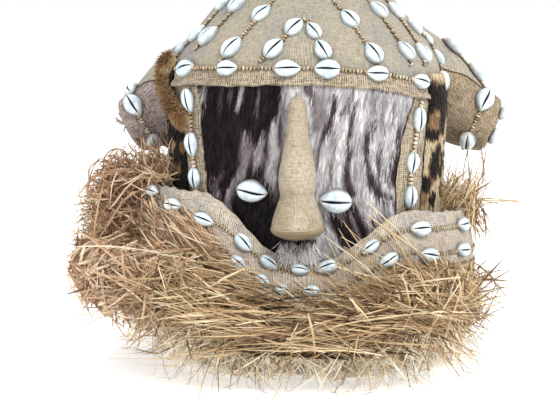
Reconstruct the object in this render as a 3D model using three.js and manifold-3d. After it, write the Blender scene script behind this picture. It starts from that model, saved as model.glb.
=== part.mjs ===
// A helmet mask of raffia cloth with an elephant's trunk on its crown, cowrie shells and a raffia ruff.
// Millimetres. +Z is up, the face looks along -Y and +X is on the viewer's right.
// The origin is the middle of the footprint, on the surface that the rim and the ruff stand on.
// Places on the helmet are given by an angle about its axis (0 at the face, 90 degrees at +X) and a height.
import * as THREE from "three";
import { mergeVertices } from "three/addons/utils/BufferGeometryUtils.js";
import Module from "manifold-3d";

const wasm = await Module();
wasm.setup();

// Driving dimensions

const WALL = 6;
const CLOTH = 2;
const HIDE = 3;
const GAP = 1;
const CROWN_TOP = 395;
const TRUNK_ARC_RADIUS = 85;
const TRUNK_ARC = THREE.MathUtils.degToRad(140);
const TRUNK_ROOT_RADIUS = 40;
const TRUNK_TIP_RADIUS = 17;
const CEILING = 350;
const BROW_RISE = 6;
const BROW_DROP = 14.5;
const BROW_END = { left: 112, right: 104 };
const FACE_BELOW_BROW = BROW_DROP + 1.5;
const SIDE_BAND_SEAM = 1.5;
const SIDE_BAND_BOTTOM = 132;
const LEOPARD_REAR_Y = -32;
const LEOPARD_BOTTOM = 126;
const LEOPARD_TOP = { left: 271, right: 259 };
const FACE_TUCK = 9;
const CHIN_HALF_ARC = THREE.MathUtils.degToRad(87);
const CHIN_BAND_WIDTH = 50;
const CHIN_TILT = -0.085;
const RUFF_HALF_WIDTH = 212;
const RUFF_HALF_DEPTH = 215;
const RUFF_BACK_TOP = 165;
const NOSE_X = -4.5;
const NOSE_TOP = 241;
const NOSE_BOTTOM = 120;
const NOSE_BASE = GAP + HIDE + 1;
const EAR_RADIUS = 28;
const EAR_END = 19;
const EAR_BULGE = 6;
const EAR_END_BULGE = 7;
const SHELL_LENGTH = 19.5;
const SHELL_WIDTH_RATIO = 0.73;
const SHELL_HEIGHT_RATIO = 0.36;
const SHELL_LIFT = 0.6;

// Each station of the helmet: height, half width, reach to the front, reach to the back, squareness.
const HELMET_STATIONS = [
  [0, 112, 118, 124, 2.4],
  [60, 115, 122, 127, 2.5],
  [120, 119, 127, 130, 2.7],
  [190, 122, 131, 132, 2.8],
  [248, 124, 132, 132, 2.8],
  [268, 122, 130, 130, 2.6],
  [285, 114, 121, 122, 2.4],
  [305, 99, 105, 107, 2.2],
  [328, 81, 87, 88, 2.0],
  [360, 58, 62, 62, 2.0],
  [CROWN_TOP, 42, 44, 43, 2.0],
];

// Half widths and projections of the nose at heights above its foot.
const NOSE_STATIONS = [
  [0, 11, 26],
  [5, 20.5, 36],
  [11, 22, 40],
  [20, 20, 37],
  [30, 16.5, 29],
  [36, 13.5, 24],
  [42, 15.5, 27],
  [53, 16, 26],
  [68, 13.5, 21],
  [88, 9.5, 15],
  [112, 7.5, 11],
  [121, 6, 7],
];

const COLOURS = {
  raffiaCloth: [0xb89c78, 0.95],
  noseCloth: [0xc9a878, 0.92],
  hide: [0x6d5d5a, 0.8],
  leopard: [0x9a6a38, 0.9],
  cowrie: [0xdfe6e8, 0.3],
  straw: [0xa98552, 0.9],
};

// Curves and surfaces

const up = new THREE.Vector3(0, 0, 1);

// Reads a table of stations at a height, smoothly, through the cubic between its neighbours.
function stationAt(table, at) {
  const last = table.length - 1;
  let i = 0;
  while (i < last - 1 && table[i + 1][0] < at) i += 1;
  const [before, low, high, after] = [Math.max(i - 1, 0), i, i + 1, Math.min(i + 2, last)].map((k) => table[k]);
  const span = high[0] - low[0];
  const t = THREE.MathUtils.clamp((at - low[0]) / span, 0, 1);
  return low.slice(1).map((value, k) => {
    const c = k + 1;
    const leave = ((high[c] - before[c]) / (high[0] - before[0])) * span;
    const arrive = ((after[c] - value) / (after[0] - low[0])) * span;
    const rise = high[c] - value;
    return value + t * leave + t * t * (3 * rise - 2 * leave - arrive) + t * t * t * (leave + arrive - 2 * rise);
  });
}

const signedPower = (value, power) => Math.sign(value) * Math.abs(value) ** power;

function ringPoint(angle, halfWidth, front, back, squareness) {
  const across = signedPower(Math.sin(angle), 2 / squareness);
  const along = signedPower(Math.cos(angle), 2 / squareness);
  return new THREE.Vector2(halfWidth * across, along * (along > 0 ? front : back));
}

// A point of the helmet's outer surface, moved outwards by lift.
function helmetPoint(angle, height, lift = 0) {
  const flat = (turn, z) => {
    const ring = ringPoint(turn, ...stationAt(HELMET_STATIONS, z));
    return new THREE.Vector3(ring.x, -ring.y, z);
  };
  const here = flat(angle, height);
  if (!lift) return here;
  const step = 0.02;
  const round = flat(angle + step, height).sub(flat(angle - step, height));
  const rise = flat(angle, height + 1).sub(flat(angle, height - 1));
  return here.addScaledVector(round.cross(rise).normalize(), lift);
}

const helmetNormal = (angle, height) =>
  helmetPoint(angle, height, 1).sub(helmetPoint(angle, height)).normalize();

// The angle at which the front of the helmet is x away from its middle plane.
function angleAtX(x, height) {
  const [halfWidth, , , squareness] = stationAt(HELMET_STATIONS, height);
  const share = Math.min(Math.abs(x) / halfWidth, 0.9999);
  return Math.sign(x) * Math.asin(share ** (squareness / 2));
}

// The angle at which the right side of the helmet's front half is at depth y.
function angleAtY(y, height) {
  const [, front, , squareness] = stationAt(HELMET_STATIONS, height);
  return Math.acos((-y / front) ** (squareness / 2));
}

// A place along the crown and trunk, from 0 at the crown's top to 1 at the tip, lifted off the axis.
function trunkPoint(angle, along, radius) {
  const turn = along * TRUNK_ARC;
  const centre = new THREE.Vector3(
    0,
    TRUNK_ARC_RADIUS * (Math.cos(turn) - 1),
    CROWN_TOP + TRUNK_ARC_RADIUS * Math.sin(turn),
  );
  const front = new THREE.Vector3(0, -Math.cos(turn), -Math.sin(turn));
  return centre
    .addScaledVector(front, radius * Math.cos(angle))
    .add(new THREE.Vector3(radius * Math.sin(angle), 0, 0));
}

// Moves every vertex of a geometry and welds what then coincides.
function shaped(geometry, move) {
  const bare = geometry.clone();
  bare.deleteAttribute("normal");
  bare.deleteAttribute("uv");
  const place = bare.attributes.position;
  for (let i = 0; i < place.count; i += 1) {
    const moved = move(new THREE.Vector3().fromBufferAttribute(place, i));
    place.setXYZ(i, moved.x, moved.y, moved.z);
  }
  const welded = mergeVertices(bare, 1e-4);
  const corners = welded.index.array;
  const kept = [];
  for (let i = 0; i < corners.length; i += 3) {
    const [a, b, c] = corners.slice(i, i + 3);
    if (a !== b && b !== c && c !== a) kept.push(a, b, c);
  }
  welded.setIndex(kept);
  return facingOut(welded);
}

// Turns a closed geometry's faces round if they point inwards.
function facingOut(geometry) {
  const corners = Array.from(geometry.index.array);
  const at = (i) => new THREE.Vector3().fromBufferAttribute(geometry.attributes.position, i);
  let volume = 0;
  for (let i = 0; i < corners.length; i += 3) {
    volume += at(corners[i]).dot(at(corners[i + 1]).cross(at(corners[i + 2])));
  }
  if (volume < 0) corners.reverse();
  geometry.setIndex(corners);
  return geometry;
}

// A curved slab: surface(u, v, lift) with u and v from 0 to 1, between two lifts off the helmet.
function slab(surface, across, along, low, high) {
  return shaped(new THREE.BoxGeometry(1, 1, 1, across, along, 1), (p) =>
    surface(p.x + 0.5, p.y + 0.5, p.z < 0 ? low : high),
  );
}

function toSolid(geometry) {
  return new wasm.Manifold(
    new wasm.Mesh({
      numProp: 3,
      vertProperties: new Float32Array(geometry.attributes.position.array),
      triVerts: new Uint32Array(geometry.index.array),
    }),
  );
}

function toGeometry(solid) {
  const mesh = solid.getMesh();
  const geometry = new THREE.BufferGeometry();
  geometry.setAttribute("position", new THREE.BufferAttribute(mesh.vertProperties, 3));
  geometry.setIndex(Array.from(mesh.triVerts));
  return geometry;
}

const mask = new THREE.Group();

function addPiece(name, geometry, finish) {
  const [color, roughness] = COLOURS[finish];
  const piece = new THREE.Mesh(geometry, new THREE.MeshStandardMaterial({ color, roughness, metalness: 0 }));
  piece.name = name;
  mask.add(piece);
  return piece;
}

// The hood: a stiffened cloth helmet, open below, whose crown runs on into the trunk

const AROUND = 36;
const TRUNK_RINGS = 9;

const outerHeights = [0, 60, 120, 180, 235, 255, 268, 280, 293, 308, 325, 343, 360, 378, CROWN_TOP];
const innerHeights = [CEILING, 330, 308, 288, 268, 245, 160, 80, 0];

function trunkRadius(along) {
  const taper = THREE.MathUtils.lerp(TRUNK_ROOT_RADIUS, TRUNK_TIP_RADIUS, along ** 0.8);
  return taper + 3 * Math.exp(-(((along - 0.96) / 0.07) ** 2));
}

// The rings that the hood is lofted through, from the middle of its ceiling out to the trunk's tip.
function hoodRings() {
  const inner = innerHeights.map((z) => (angle) => helmetPoint(angle, z, -WALL).setZ(z));
  const outer = outerHeights.map((z) => (angle) => helmetPoint(angle, z));
  const trunk = Array.from({ length: TRUNK_RINGS }, (_, i) => (angle) => {
    const along = (i + 1) / TRUNK_RINGS;
    return trunkPoint(angle, along, trunkRadius(along));
  });
  return [...inner, ...outer, ...trunk];
}

function hoodGeometry() {
  const rings = hoodRings();
  const profile = [new THREE.Vector2(0, -1), ...rings.map((_, i) => new THREE.Vector2(1, i))];
  profile.push(new THREE.Vector2(0, rings.length));
  return shaped(new THREE.LatheGeometry(profile, AROUND), (p) => {
    if (p.y < -0.5) return new THREE.Vector3(0, 0, CEILING);
    if (p.y > rings.length - 0.5) return trunkPoint(0, 1, 0);
    return rings[Math.round(p.y)](Math.atan2(p.x, p.z));
  });
}

addPiece("hood", hoodGeometry(), "raffiaCloth");

// A solid of the helmet's outside, grown by clear, to cut what is seated on it
function helmetBlank(clear) {
  const heights = [100, ...outerHeights.filter((z) => z > 100)];
  const profile = [new THREE.Vector2(0, -1), ...heights.map((_, i) => new THREE.Vector2(1, i))];
  profile.push(new THREE.Vector2(0, heights.length));
  return toSolid(
    shaped(new THREE.LatheGeometry(profile, AROUND * 2), (p) => {
      if (p.y < -0.5) return new THREE.Vector3(0, 0, heights[0]);
      if (p.y > heights.length - 0.5) return new THREE.Vector3(0, 0, heights.at(-1));
      return helmetPoint(Math.atan2(p.x, p.z), heights[Math.round(p.y)], clear);
    }),
  );
}

// The face: a panel of hide, framed by a brow band above and a band down each side

// The line of stitches along the brow, which sags to the right
const browLine = (x) => 262.5 - 0.0011 * Math.max(x, 0) ** 2;

// How far each upright edge of the face is from the middle; the right one is bowed.
function faceEdge(side, height) {
  return side < 0 ? 88 - 0.075 * (247 - height) : 76.5 + 0.0021 * Math.max(height - 155, 0) ** 2;
}

// How far each side band's outer edge is from the middle; the right band widens downwards.
function bandEdge(side, height) {
  return side < 0 ? faceEdge(side, height) + SIDE_BAND_SEAM + 15 : 99 + 0.065 * (height - 150);
}

addPiece(
  "face_hide",
  slab(
    (u, v, lift) => {
      const share = 2 * u - 1;
      const side = Math.sign(share) || 1;
      const low = chinTop(angleAtX(share * 80, 120)) - FACE_TUCK;
      const high = browLine(share * faceEdge(side, 238)) - FACE_BELOW_BROW;
      const height = THREE.MathUtils.lerp(low, high, v);
      return helmetPoint(angleAtX(share * faceEdge(side, height), height), height, lift);
    },
    14,
    7,
    GAP,
    GAP + HIDE,
  ),
  "hide",
);

addPiece(
  "brow_band",
  slab(
    (u, v, lift) => {
      const x = THREE.MathUtils.lerp(-BROW_END.left, BROW_END.right, u);
      const height = browLine(x) + THREE.MathUtils.lerp(-BROW_DROP, BROW_RISE, v);
      return helmetPoint(angleAtX(x, height), height, lift);
    },
    20,
    2,
    GAP,
    GAP + CLOTH,
  ),
  "raffiaCloth",
);

for (const [name, side] of [["left", -1], ["right", 1]]) {
  addPiece(
    `side_band_${name}`,
    slab(
      (u, v, lift) => {
        const across = (z) => THREE.MathUtils.lerp(faceEdge(side, z) + SIDE_BAND_SEAM, bandEdge(side, z), u);
        const high = browLine(side * across(238)) - FACE_BELOW_BROW;
        const height = THREE.MathUtils.lerp(SIDE_BAND_BOTTOM, high, v);
        const x = side * across(height);
        return helmetPoint(angleAtX(x, height), height, lift);
      },
      3,
      7,
      GAP,
      GAP + CLOTH,
    ),
    "raffiaCloth",
  );
  addPiece(
    `leopard_cheek_${name}`,
    slab(
      (u, v, lift) => {
        const height = THREE.MathUtils.lerp(LEOPARD_BOTTOM, LEOPARD_TOP[name], v);
        const clearOfBand = bandEdge(side, Math.min(height, 235)) + SIDE_BAND_SEAM;
        const clearOfBrow = (BROW_END[name] + 2.5) * THREE.MathUtils.smoothstep(height, 200, 218);
        const from = angleAtX(Math.max(clearOfBand, clearOfBrow), height);
        return helmetPoint(side * THREE.MathUtils.lerp(from, angleAtY(LEOPARD_REAR_Y, height), u), height, lift);
      },
      5,
      7,
      GAP,
      GAP + HIDE,
    ),
    "leopard",
  );
}

// The nose: a wooden wedge under tight cloth, notched above flared nostrils

const NOSE_SIDES = 16;
const NOSE_LEVELS = 18;

addPiece(
  "nose",
  shaped(new THREE.CylinderGeometry(1, 1, 1, NOSE_SIDES, NOSE_LEVELS), (p) => {
    const above = (p.y + 0.5) * (NOSE_TOP - NOSE_BOTTOM);
    const [halfWidth, reach] = stationAt(NOSE_STATIONS, above);
    const height = NOSE_BOTTOM + above;
    const foot = helmetPoint(0, height, NOSE_BASE).y;
    const out = Math.max(p.z, 0) ** 0.8;
    return new THREE.Vector3(NOSE_X + p.x * halfWidth, foot - reach * out - 0.01 * p.z, height);
  }),
  "noseCloth",
);

// The chin band: a stiff cloth collar that dips below the nose and stands off the cheeks

// How far the helmet's plan is from its middle, as the share of the way to the side.
const sideways = (angle) => Math.abs(Math.sin(angle));

function chinTop(angle) {
  const x = 150 * Math.sin(angle);
  const climb = 52 * THREE.MathUtils.smoothstep(Math.abs(x), 0, x < 0 ? 82 : 94);
  return 100 + climb + CHIN_TILT * x;
}

const chinWidth = (angle) => CHIN_BAND_WIDTH * THREE.MathUtils.lerp(0.64, 1, sideways(angle) ** 0.7);

function chinPoint(angle, down, lift) {
  const drop = down * chinWidth(angle);
  const stand = THREE.MathUtils.lerp(6, 24, sideways(angle) ** 2);
  const flare = down * THREE.MathUtils.lerp(24, 12, sideways(angle)) + 3 * Math.sin(Math.PI * down);
  return helmetPoint(angle, chinTop(angle) - drop, stand + flare + lift);
}

addPiece(
  "chin_band",
  slab((u, v, lift) => chinPoint((2 * u - 1) * CHIN_HALF_ARC, 1 - v, lift), 36, 3, 0, CLOTH),
  "raffiaCloth",
);

// The ruff of loose raffia round the neck, as the solid that its strands fill

const RUFF_SIDES = 48;
const RUFF_SECTION = 10;

// The corners of the ruff's section as shares of its reach and height, inner side first.
const RUFF_PROFILE = [
  [0, 0.5],
  [0, 0.8],
  [0, 1],
  [0.36, 1],
  [0.78, 0.82],
  [1, 0.5],
  [0.96, 0.25],
  [0.72, 0],
  [0.4, 0],
  [0, 0],
];

// The ruff's top stays under the chin band and rises behind its ends.
function ruffTop(angle) {
  const turned = Math.abs(Math.atan2(Math.sin(angle), Math.cos(angle)));
  const rise = THREE.MathUtils.smoothstep(turned, CHIN_HALF_ARC + 0.05, CHIN_HALF_ARC + 0.35);
  return THREE.MathUtils.lerp(chinTop(angle) - chinWidth(angle) - 8, RUFF_BACK_TOP, rise);
}

addPiece(
  "raffia_ruff",
  shaped(new THREE.TorusGeometry(4, 1, RUFF_SECTION, RUFF_SIDES), (p) => {
    const angle = Math.atan2(p.x, p.y);
    const turn = Math.atan2(p.z, 4 - Math.hypot(p.x, p.y));
    const corner = Math.round(((turn + 2 * Math.PI) / (2 * Math.PI)) * RUFF_SECTION) % RUFF_SECTION;
    const [out, rise] = RUFF_PROFILE[corner];
    const height = rise * ruffTop(angle);
    const inside = helmetPoint(angle, height, 1.5 * GAP).setZ(height);
    const plan = ringPoint(angle, RUFF_HALF_WIDTH, RUFF_HALF_DEPTH, RUFF_HALF_DEPTH, 2.2);
    return inside.lerp(new THREE.Vector3(plan.x, -plan.y, height), out);
  }),
  "straw",
);

// The ears: cloth tents that run from the hood's side out to a round rim, tilted forwards and down

const EAR_ROOT_X = 104;
const EAR_ROOT_HALF_DEPTH = 32;

// Each ear: its ring of shells' middle, how far it droops in degrees, and its root's lowest and highest points.
const EARS = {
  left: { side: -1, middle: new THREE.Vector3(151, -4, 218), droop: 27, low: 208, high: 297 },
  right: { side: 1, middle: new THREE.Vector3(156, -4, 218), droop: 21, low: 213, high: 306 },
};

// Two directions across an ear's axis, towards its back and its top, and the axis itself
function earAxes(ear) {
  const droop = THREE.MathUtils.degToRad(ear.droop);
  const outward = new THREE.Vector3(Math.cos(droop), -0.06, -Math.sin(droop)).normalize();
  const toBack = new THREE.Vector3().crossVectors(up, outward).normalize();
  return { outward, toBack, toTop: new THREE.Vector3().crossVectors(outward, toBack) };
}

// A point of an ear's side as if it were on the right: along is 0 at the root and 1 at the ring of shells,
// turn is 0 at the top and grows towards the back.
function earPoint(ear, along, turn) {
  const { outward, toBack, toTop } = earAxes(ear);
  const past = Math.max(along - 1, 0) * EAR_END;
  const radius = EAR_RADIUS - 0.01 * past * past;
  const ring = ear.middle
    .clone()
    .addScaledVector(outward, past)
    .addScaledVector(toTop, radius * Math.cos(turn))
    .addScaledVector(toBack, radius * Math.sin(turn));
  const narrow = 1 - 0.45 * Math.max(Math.cos(turn), 0) ** 2;
  const root = new THREE.Vector3(
    EAR_ROOT_X,
    EAR_ROOT_HALF_DEPTH * Math.sin(turn) * narrow,
    (ear.low + ear.high) / 2 + ((ear.high - ear.low) / 2) * Math.cos(turn),
  );
  const share = Math.min(along, 1);
  return root.lerp(ring, share).addScaledVector(toTop, EAR_BULGE * Math.sin(Math.PI * share) * Math.cos(turn));
}

const EAR_SIDES = 24;
const EAR_RINGS = [0, 0.3, 0.55, 0.8, 1, 1.6, 2];

function earGeometry(ear) {
  const { outward } = earAxes(ear);
  const barrel = shaped(new THREE.CylinderGeometry(1, 1, 1, EAR_SIDES, EAR_RINGS.length - 1), (p) => {
    const level = Math.round((p.y + 0.5) * (EAR_RINGS.length - 1));
    if (Math.hypot(p.x, p.z) > 0.5) return earPoint(ear, EAR_RINGS[level], Math.atan2(p.z, p.x));
    if (level > 0) return ear.middle.clone().addScaledVector(outward, EAR_END + EAR_END_BULGE);
    return new THREE.Vector3(EAR_ROOT_X, 0, (ear.low + ear.high) / 2);
  });
  const seated = toGeometry(toSolid(barrel).subtract(helmetBlank(GAP)));
  return shaped(seated, (p) => new THREE.Vector3(ear.side * p.x, p.y, p.z));
}

for (const [name, ear] of Object.entries(EARS)) addPiece(`ear_${name}`, earGeometry(ear), "raffiaCloth");

// Cowrie shells, each sewn down flat with its toothed opening outwards

const SHELL_SIDES = 8;
const SHELL_RINGS = 5;

// Both sides of a shell's flat foot are within SHELL_FOOT of its length below its middle.
const SHELL_FOOT = 0.05;

function cowrieGeometry(length) {
  const halfLength = length / 2;
  return shaped(new THREE.SphereGeometry(1, SHELL_SIDES, SHELL_RINGS), (p) => {
    const egg = 1 - 0.16 * p.y;
    const height = p.z > 0 ? p.z * SHELL_HEIGHT_RATIO * egg : p.z * SHELL_FOOT;
    return new THREE.Vector3(p.y * halfLength, p.x * halfLength * SHELL_WIDTH_RATIO * egg, height * length);
  });
}

// Sews a shell at a point, with its back along the normal and its narrow end along the given direction.
function sewShell(name, point, normal, along, length = SHELL_LENGTH) {
  const lengthwise = along.clone().addScaledVector(normal, -along.dot(normal)).normalize();
  const across = new THREE.Vector3().crossVectors(normal, lengthwise);
  const piece = addPiece(name, cowrieGeometry(length), "cowrie");
  piece.quaternion.setFromRotationMatrix(new THREE.Matrix4().makeBasis(lengthwise, across, normal));
  piece.position.copy(point).addScaledVector(normal, SHELL_LIFT + SHELL_FOOT * length);
}
// A direction in the picture plane, leaning by tilt degrees from +X towards +Z.
function leaning(tilt) {
  const lean = THREE.MathUtils.degToRad(tilt);
  return new THREE.Vector3(Math.cos(lean), 0, Math.sin(lean));
}

function sewOnHelmet(name, x, height, lift, tilt, length) {
  const angle = angleAtX(x, height);
  const normal = helmetNormal(angle, height);
  sewShell(name, helmetPoint(angle, height, lift), normal, leaning(tilt), length);
}

const onHide = GAP + HIDE;
const onCloth = GAP + CLOTH;

sewOnHelmet("eye_cowrie_left", -42, 160, onHide, -8, 27);
sewOnHelmet("eye_cowrie_right", 27, 152, onHide, 176, 28.5);

// The brow row: each shell's place along the band, its tilt and its length. All point to the middle.
const BROW_ROW = [[-100, -6, 21], [-63, 0, 18.5], [-13, 0, 22.3], [20, 180, 22], [61, 178, 19.3], [97, 178, 19]];
BROW_ROW.forEach(([x, tilt, length], i) => {
  sewOnHelmet(`brow_cowrie_${i + 1}`, x, browLine(x), onCloth, tilt, length);
});
sewOnHelmet("brow_cowrie_7", 121.5, 252, onHide, -78, 19);

// The shells down each side band: height, tilt and length
const SIDE_ROWS = {
  left: [[236, -66, 21], [198.5, -88, 21], [169, -88, 19]],
  right: [[220, -92, 21.5], [183, -90, 19], [153.5, -90, 20.5]],
};
for (const [name, side] of [["left", -1], ["right", 1]]) {
  SIDE_ROWS[name].forEach(([height, tilt, length], i) => {
    const x = (side * (faceEdge(side, height) + SIDE_BAND_SEAM + bandEdge(side, height))) / 2;
    sewOnHelmet(`side_cowrie_${name}_${i + 1}`, x, height, onCloth, tilt, length);
  });
}

// Two rows round the chin band: each shell's angle in degrees, its share of the way down and its length
const CHIN_ROWS = {
  upper: [
    [-60.5, 0.13, 18.5],
    [-44.7, 0.3, 19.5],
    [-29.8, 0.47, 19.5],
    [-16.4, 0.34, 19],
    [-8.5, 0.3, 18],
    [-0.3, 0.2, 16],
    [5.8, 0.19, 19],
    [19.7, 0.27, 18],
    [38.3, 0.34, 20],
    [64.7, 0.25, 19],
  ],
  lower: [
    [-46, 0.64, 17],
    [-17.3, 0.76, 16],
    [-10, 0.72, 15],
    [-4.2, 0.68, 15],
    [1.6, 0.64, 15],
    [25, 0.68, 19],
    [40.9, 0.77, 20],
    [60.5, 0.66, 19],
  ],
};
for (const [name, shells] of Object.entries(CHIN_ROWS)) {
  shells.forEach(([degree, down, length], i) => {
    const angle = THREE.MathUtils.degToRad(degree);
    const here = chinPoint(angle, down, CLOTH);
    const round = chinPoint(angle + 0.03, down, CLOTH).sub(chinPoint(angle - 0.03, down, CLOTH));
    const rise = chinPoint(angle, down - 0.05, CLOTH).sub(chinPoint(angle, down + 0.05, CLOTH));
    const normal = round.clone().cross(rise).normalize();
    const inwards = degree < 0 ? round : round.negate();
    sewShell(`chin_cowrie_${name}_${i + 1}`, here, normal, inwards, length);
  });
}

// Shells on each ear: how far along it, the turn from its top, negative to the face, the way
// that the narrow end points, where 0 is round the ear and 90 is outwards, and the length
const EAR_SHELLS = {
  left: [[1.12, -60, 190, 21.5], [1.05, -138, 170, 19], [0.98, -14, 180, 18], [1.2, 28, 180, 17]],
  right: [[1.02, -51, 180, 21.5], [1, -133, 170, 19], [0.8, -6, 90, 19], [0.45, -8, 90, 19.5]],
};
for (const [name, ear] of Object.entries(EARS)) {
  EAR_SHELLS[name].forEach(([along, degrees, way, length], i) => {
    const turn = THREE.MathUtils.degToRad(degrees);
    const here = earPoint(ear, along, turn);
    const round = earPoint(ear, along, turn + 0.1).sub(earPoint(ear, along, turn - 0.1)).normalize();
    const out = earPoint(ear, along + 0.1, turn).sub(earPoint(ear, along - 0.1, turn)).normalize();
    const normal = out.clone().cross(round).normalize();
    if (normal.dot(here.clone().sub(ear.middle)) < 0) normal.negate();
    const lean = THREE.MathUtils.degToRad(way);
    const narrow = round.multiplyScalar(Math.cos(lean)).addScaledVector(out, Math.sin(lean));
    for (const v of [here, narrow, normal]) v.x *= ear.side;
    sewShell(`ear_cowrie_${name}_${i + 1}`, here, normal, narrow, length);
  });
}

// The lowest shells of the two inmost chevrons on the hood's front: x, height, tilt and length
const CHEVRONS = [
  [-8.3, 298, 51, 20.2],
  [8.6, 294.5, 123, 18.9],
  [-25, 279.5, 49, 21],
  [16.4, 278, 123, 20.2],
  [-61, 280.5, 53, 22.3],
  [58.7, 275.5, 120, 20.6],
];
CHEVRONS.forEach(([x, height, tilt, length], i) => {
  sewOnHelmet(`hood_cowrie_${i + 1}`, x, height, 0, tilt, length);
});

export default mask;
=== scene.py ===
# The look of a helmet mask: raffia cloth over its hood, trunk and ears, hide and spotted fur on its face,
# cowrie shells sewn down along stitched lines, and a ruff of loose raffia round its neck.
# Shapes are worked out in millimetres and go into the meshes in metres.
# Places on the helmet are an angle about its axis, 0 at the face and growing to +X, and a height.
import math

import bmesh
import bpy
import numpy as np
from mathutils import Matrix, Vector, noise
from mathutils.bvhtree import BVHTree


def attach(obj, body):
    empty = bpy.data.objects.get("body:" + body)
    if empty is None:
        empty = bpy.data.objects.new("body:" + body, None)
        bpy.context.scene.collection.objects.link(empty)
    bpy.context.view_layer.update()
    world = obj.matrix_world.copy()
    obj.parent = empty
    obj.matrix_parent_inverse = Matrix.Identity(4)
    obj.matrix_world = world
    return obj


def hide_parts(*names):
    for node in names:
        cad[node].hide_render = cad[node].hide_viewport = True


MM = 0.001

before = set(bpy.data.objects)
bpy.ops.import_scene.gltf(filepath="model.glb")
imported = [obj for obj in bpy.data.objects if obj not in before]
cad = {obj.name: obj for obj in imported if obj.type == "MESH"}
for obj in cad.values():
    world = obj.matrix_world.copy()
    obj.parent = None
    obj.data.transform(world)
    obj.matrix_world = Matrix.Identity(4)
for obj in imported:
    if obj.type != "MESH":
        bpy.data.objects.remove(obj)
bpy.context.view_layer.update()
scene = bpy.context.scene


def row(*values):
    """A point or direction as an array."""
    return np.array(values, float)


def unit(vectors):
    """Each vector at length 1."""
    vectors = np.asarray(vectors, float)
    return vectors / np.maximum(np.linalg.norm(vectors, axis=-1, keepdims=True), 1e-9)


# Camera, light and floor

TURN = math.radians(2.5)  # the mask is seen from a little to its right
RISE = math.radians(5)  # and from a little above
AIM = row(-19.55, -130, 143.5)
DISTANCE = 1200
LENS = 90.756

backwards = row(math.sin(TURN) * math.cos(RISE), -math.cos(TURN) * math.cos(RISE), math.sin(RISE))
camera_data = bpy.data.cameras.new("camera")
camera_data.lens = LENS
camera_data.clip_end = 30
camera = bpy.data.objects.new("camera", camera_data)
camera.location = Vector((AIM + DISTANCE * backwards) * MM)
camera.rotation_euler = Vector(-backwards).to_track_quat("-Z", "Y").to_euler()
scene.collection.objects.link(camera)
scene.camera = camera
scene.view_settings.view_transform = "Standard"


def softbox(name, place, size, power):
    """A square lamp that faces the middle of the mask."""
    data = bpy.data.lights.new(name, "AREA")
    data.size = size
    data.energy = power
    lamp = bpy.data.objects.new(name, data)
    lamp.location = place
    lamp.rotation_euler = (Vector((0, 0, 0.2)) - Vector(place)).to_track_quat("-Z", "Y").to_euler()
    scene.collection.objects.link(lamp)


softbox("key", (0.9, -1.3, 1.6), 0.5, 22)
softbox("fill", (-1.5, -1.1, 0.5), 1.2, 3)
softbox("rim", (-0.3, 1.5, 1.5), 2.2, 12)
daylight = bpy.data.lights.new("daylight", "SUN")
daylight.energy = 0.6
daylight.angle = math.radians(25)
sun = bpy.data.objects.new("daylight", daylight)
sun.rotation_euler = Vector((-0.5, 0.8, -1.1)).to_track_quat("-Z", "Y").to_euler()
scene.collection.objects.link(sun)


# Nodes and materials


def linear(colour):
    """An sRGB hex colour as the linear colour that a shader takes."""
    parts = [int(colour[i : i + 2], 16) / 255 for i in (1, 3, 5)]
    return [c / 12.92 if c <= 0.04045 else ((c + 0.055) / 1.055) ** 2.4 for c in parts] + [1.0]


def add_node(tree, kind, inputs=None, stops=None, **settings):
    """Adds a node with its settings and the values or links of its inputs. stops are a ramp's."""
    node = tree.nodes.new("ShaderNode" + kind)
    for key, value in settings.items():
        setattr(node, key, value)
    for key, value in (inputs or {}).items():
        if isinstance(value, bpy.types.NodeSocket):
            tree.links.new(value, node.inputs[key])
        else:
            node.inputs[key].default_value = value
    if stops:
        ramp = node.color_ramp.elements
        while len(ramp) < len(stops):
            ramp.new(1.0)
        for element, (position, colour) in zip(ramp, stops):
            element.position = position
            element.color = linear(colour)
    return node


def start_material(name, **sockets):
    """A new material, its node tree and its shader, whose plain sockets are set."""
    material = bpy.data.materials.new(name)
    material.use_nodes = True
    shader = material.node_tree.nodes["Principled BSDF"]
    for key, value in sockets.items():
        shader.inputs[key.replace("_", " ")].default_value = value
    return material, material.node_tree, shader


def wave_scale(pitch):
    """The scale that gives a wave texture a period of pitch millimetres on metres."""
    return 2 * math.pi / (20 * pitch * MM)


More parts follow.
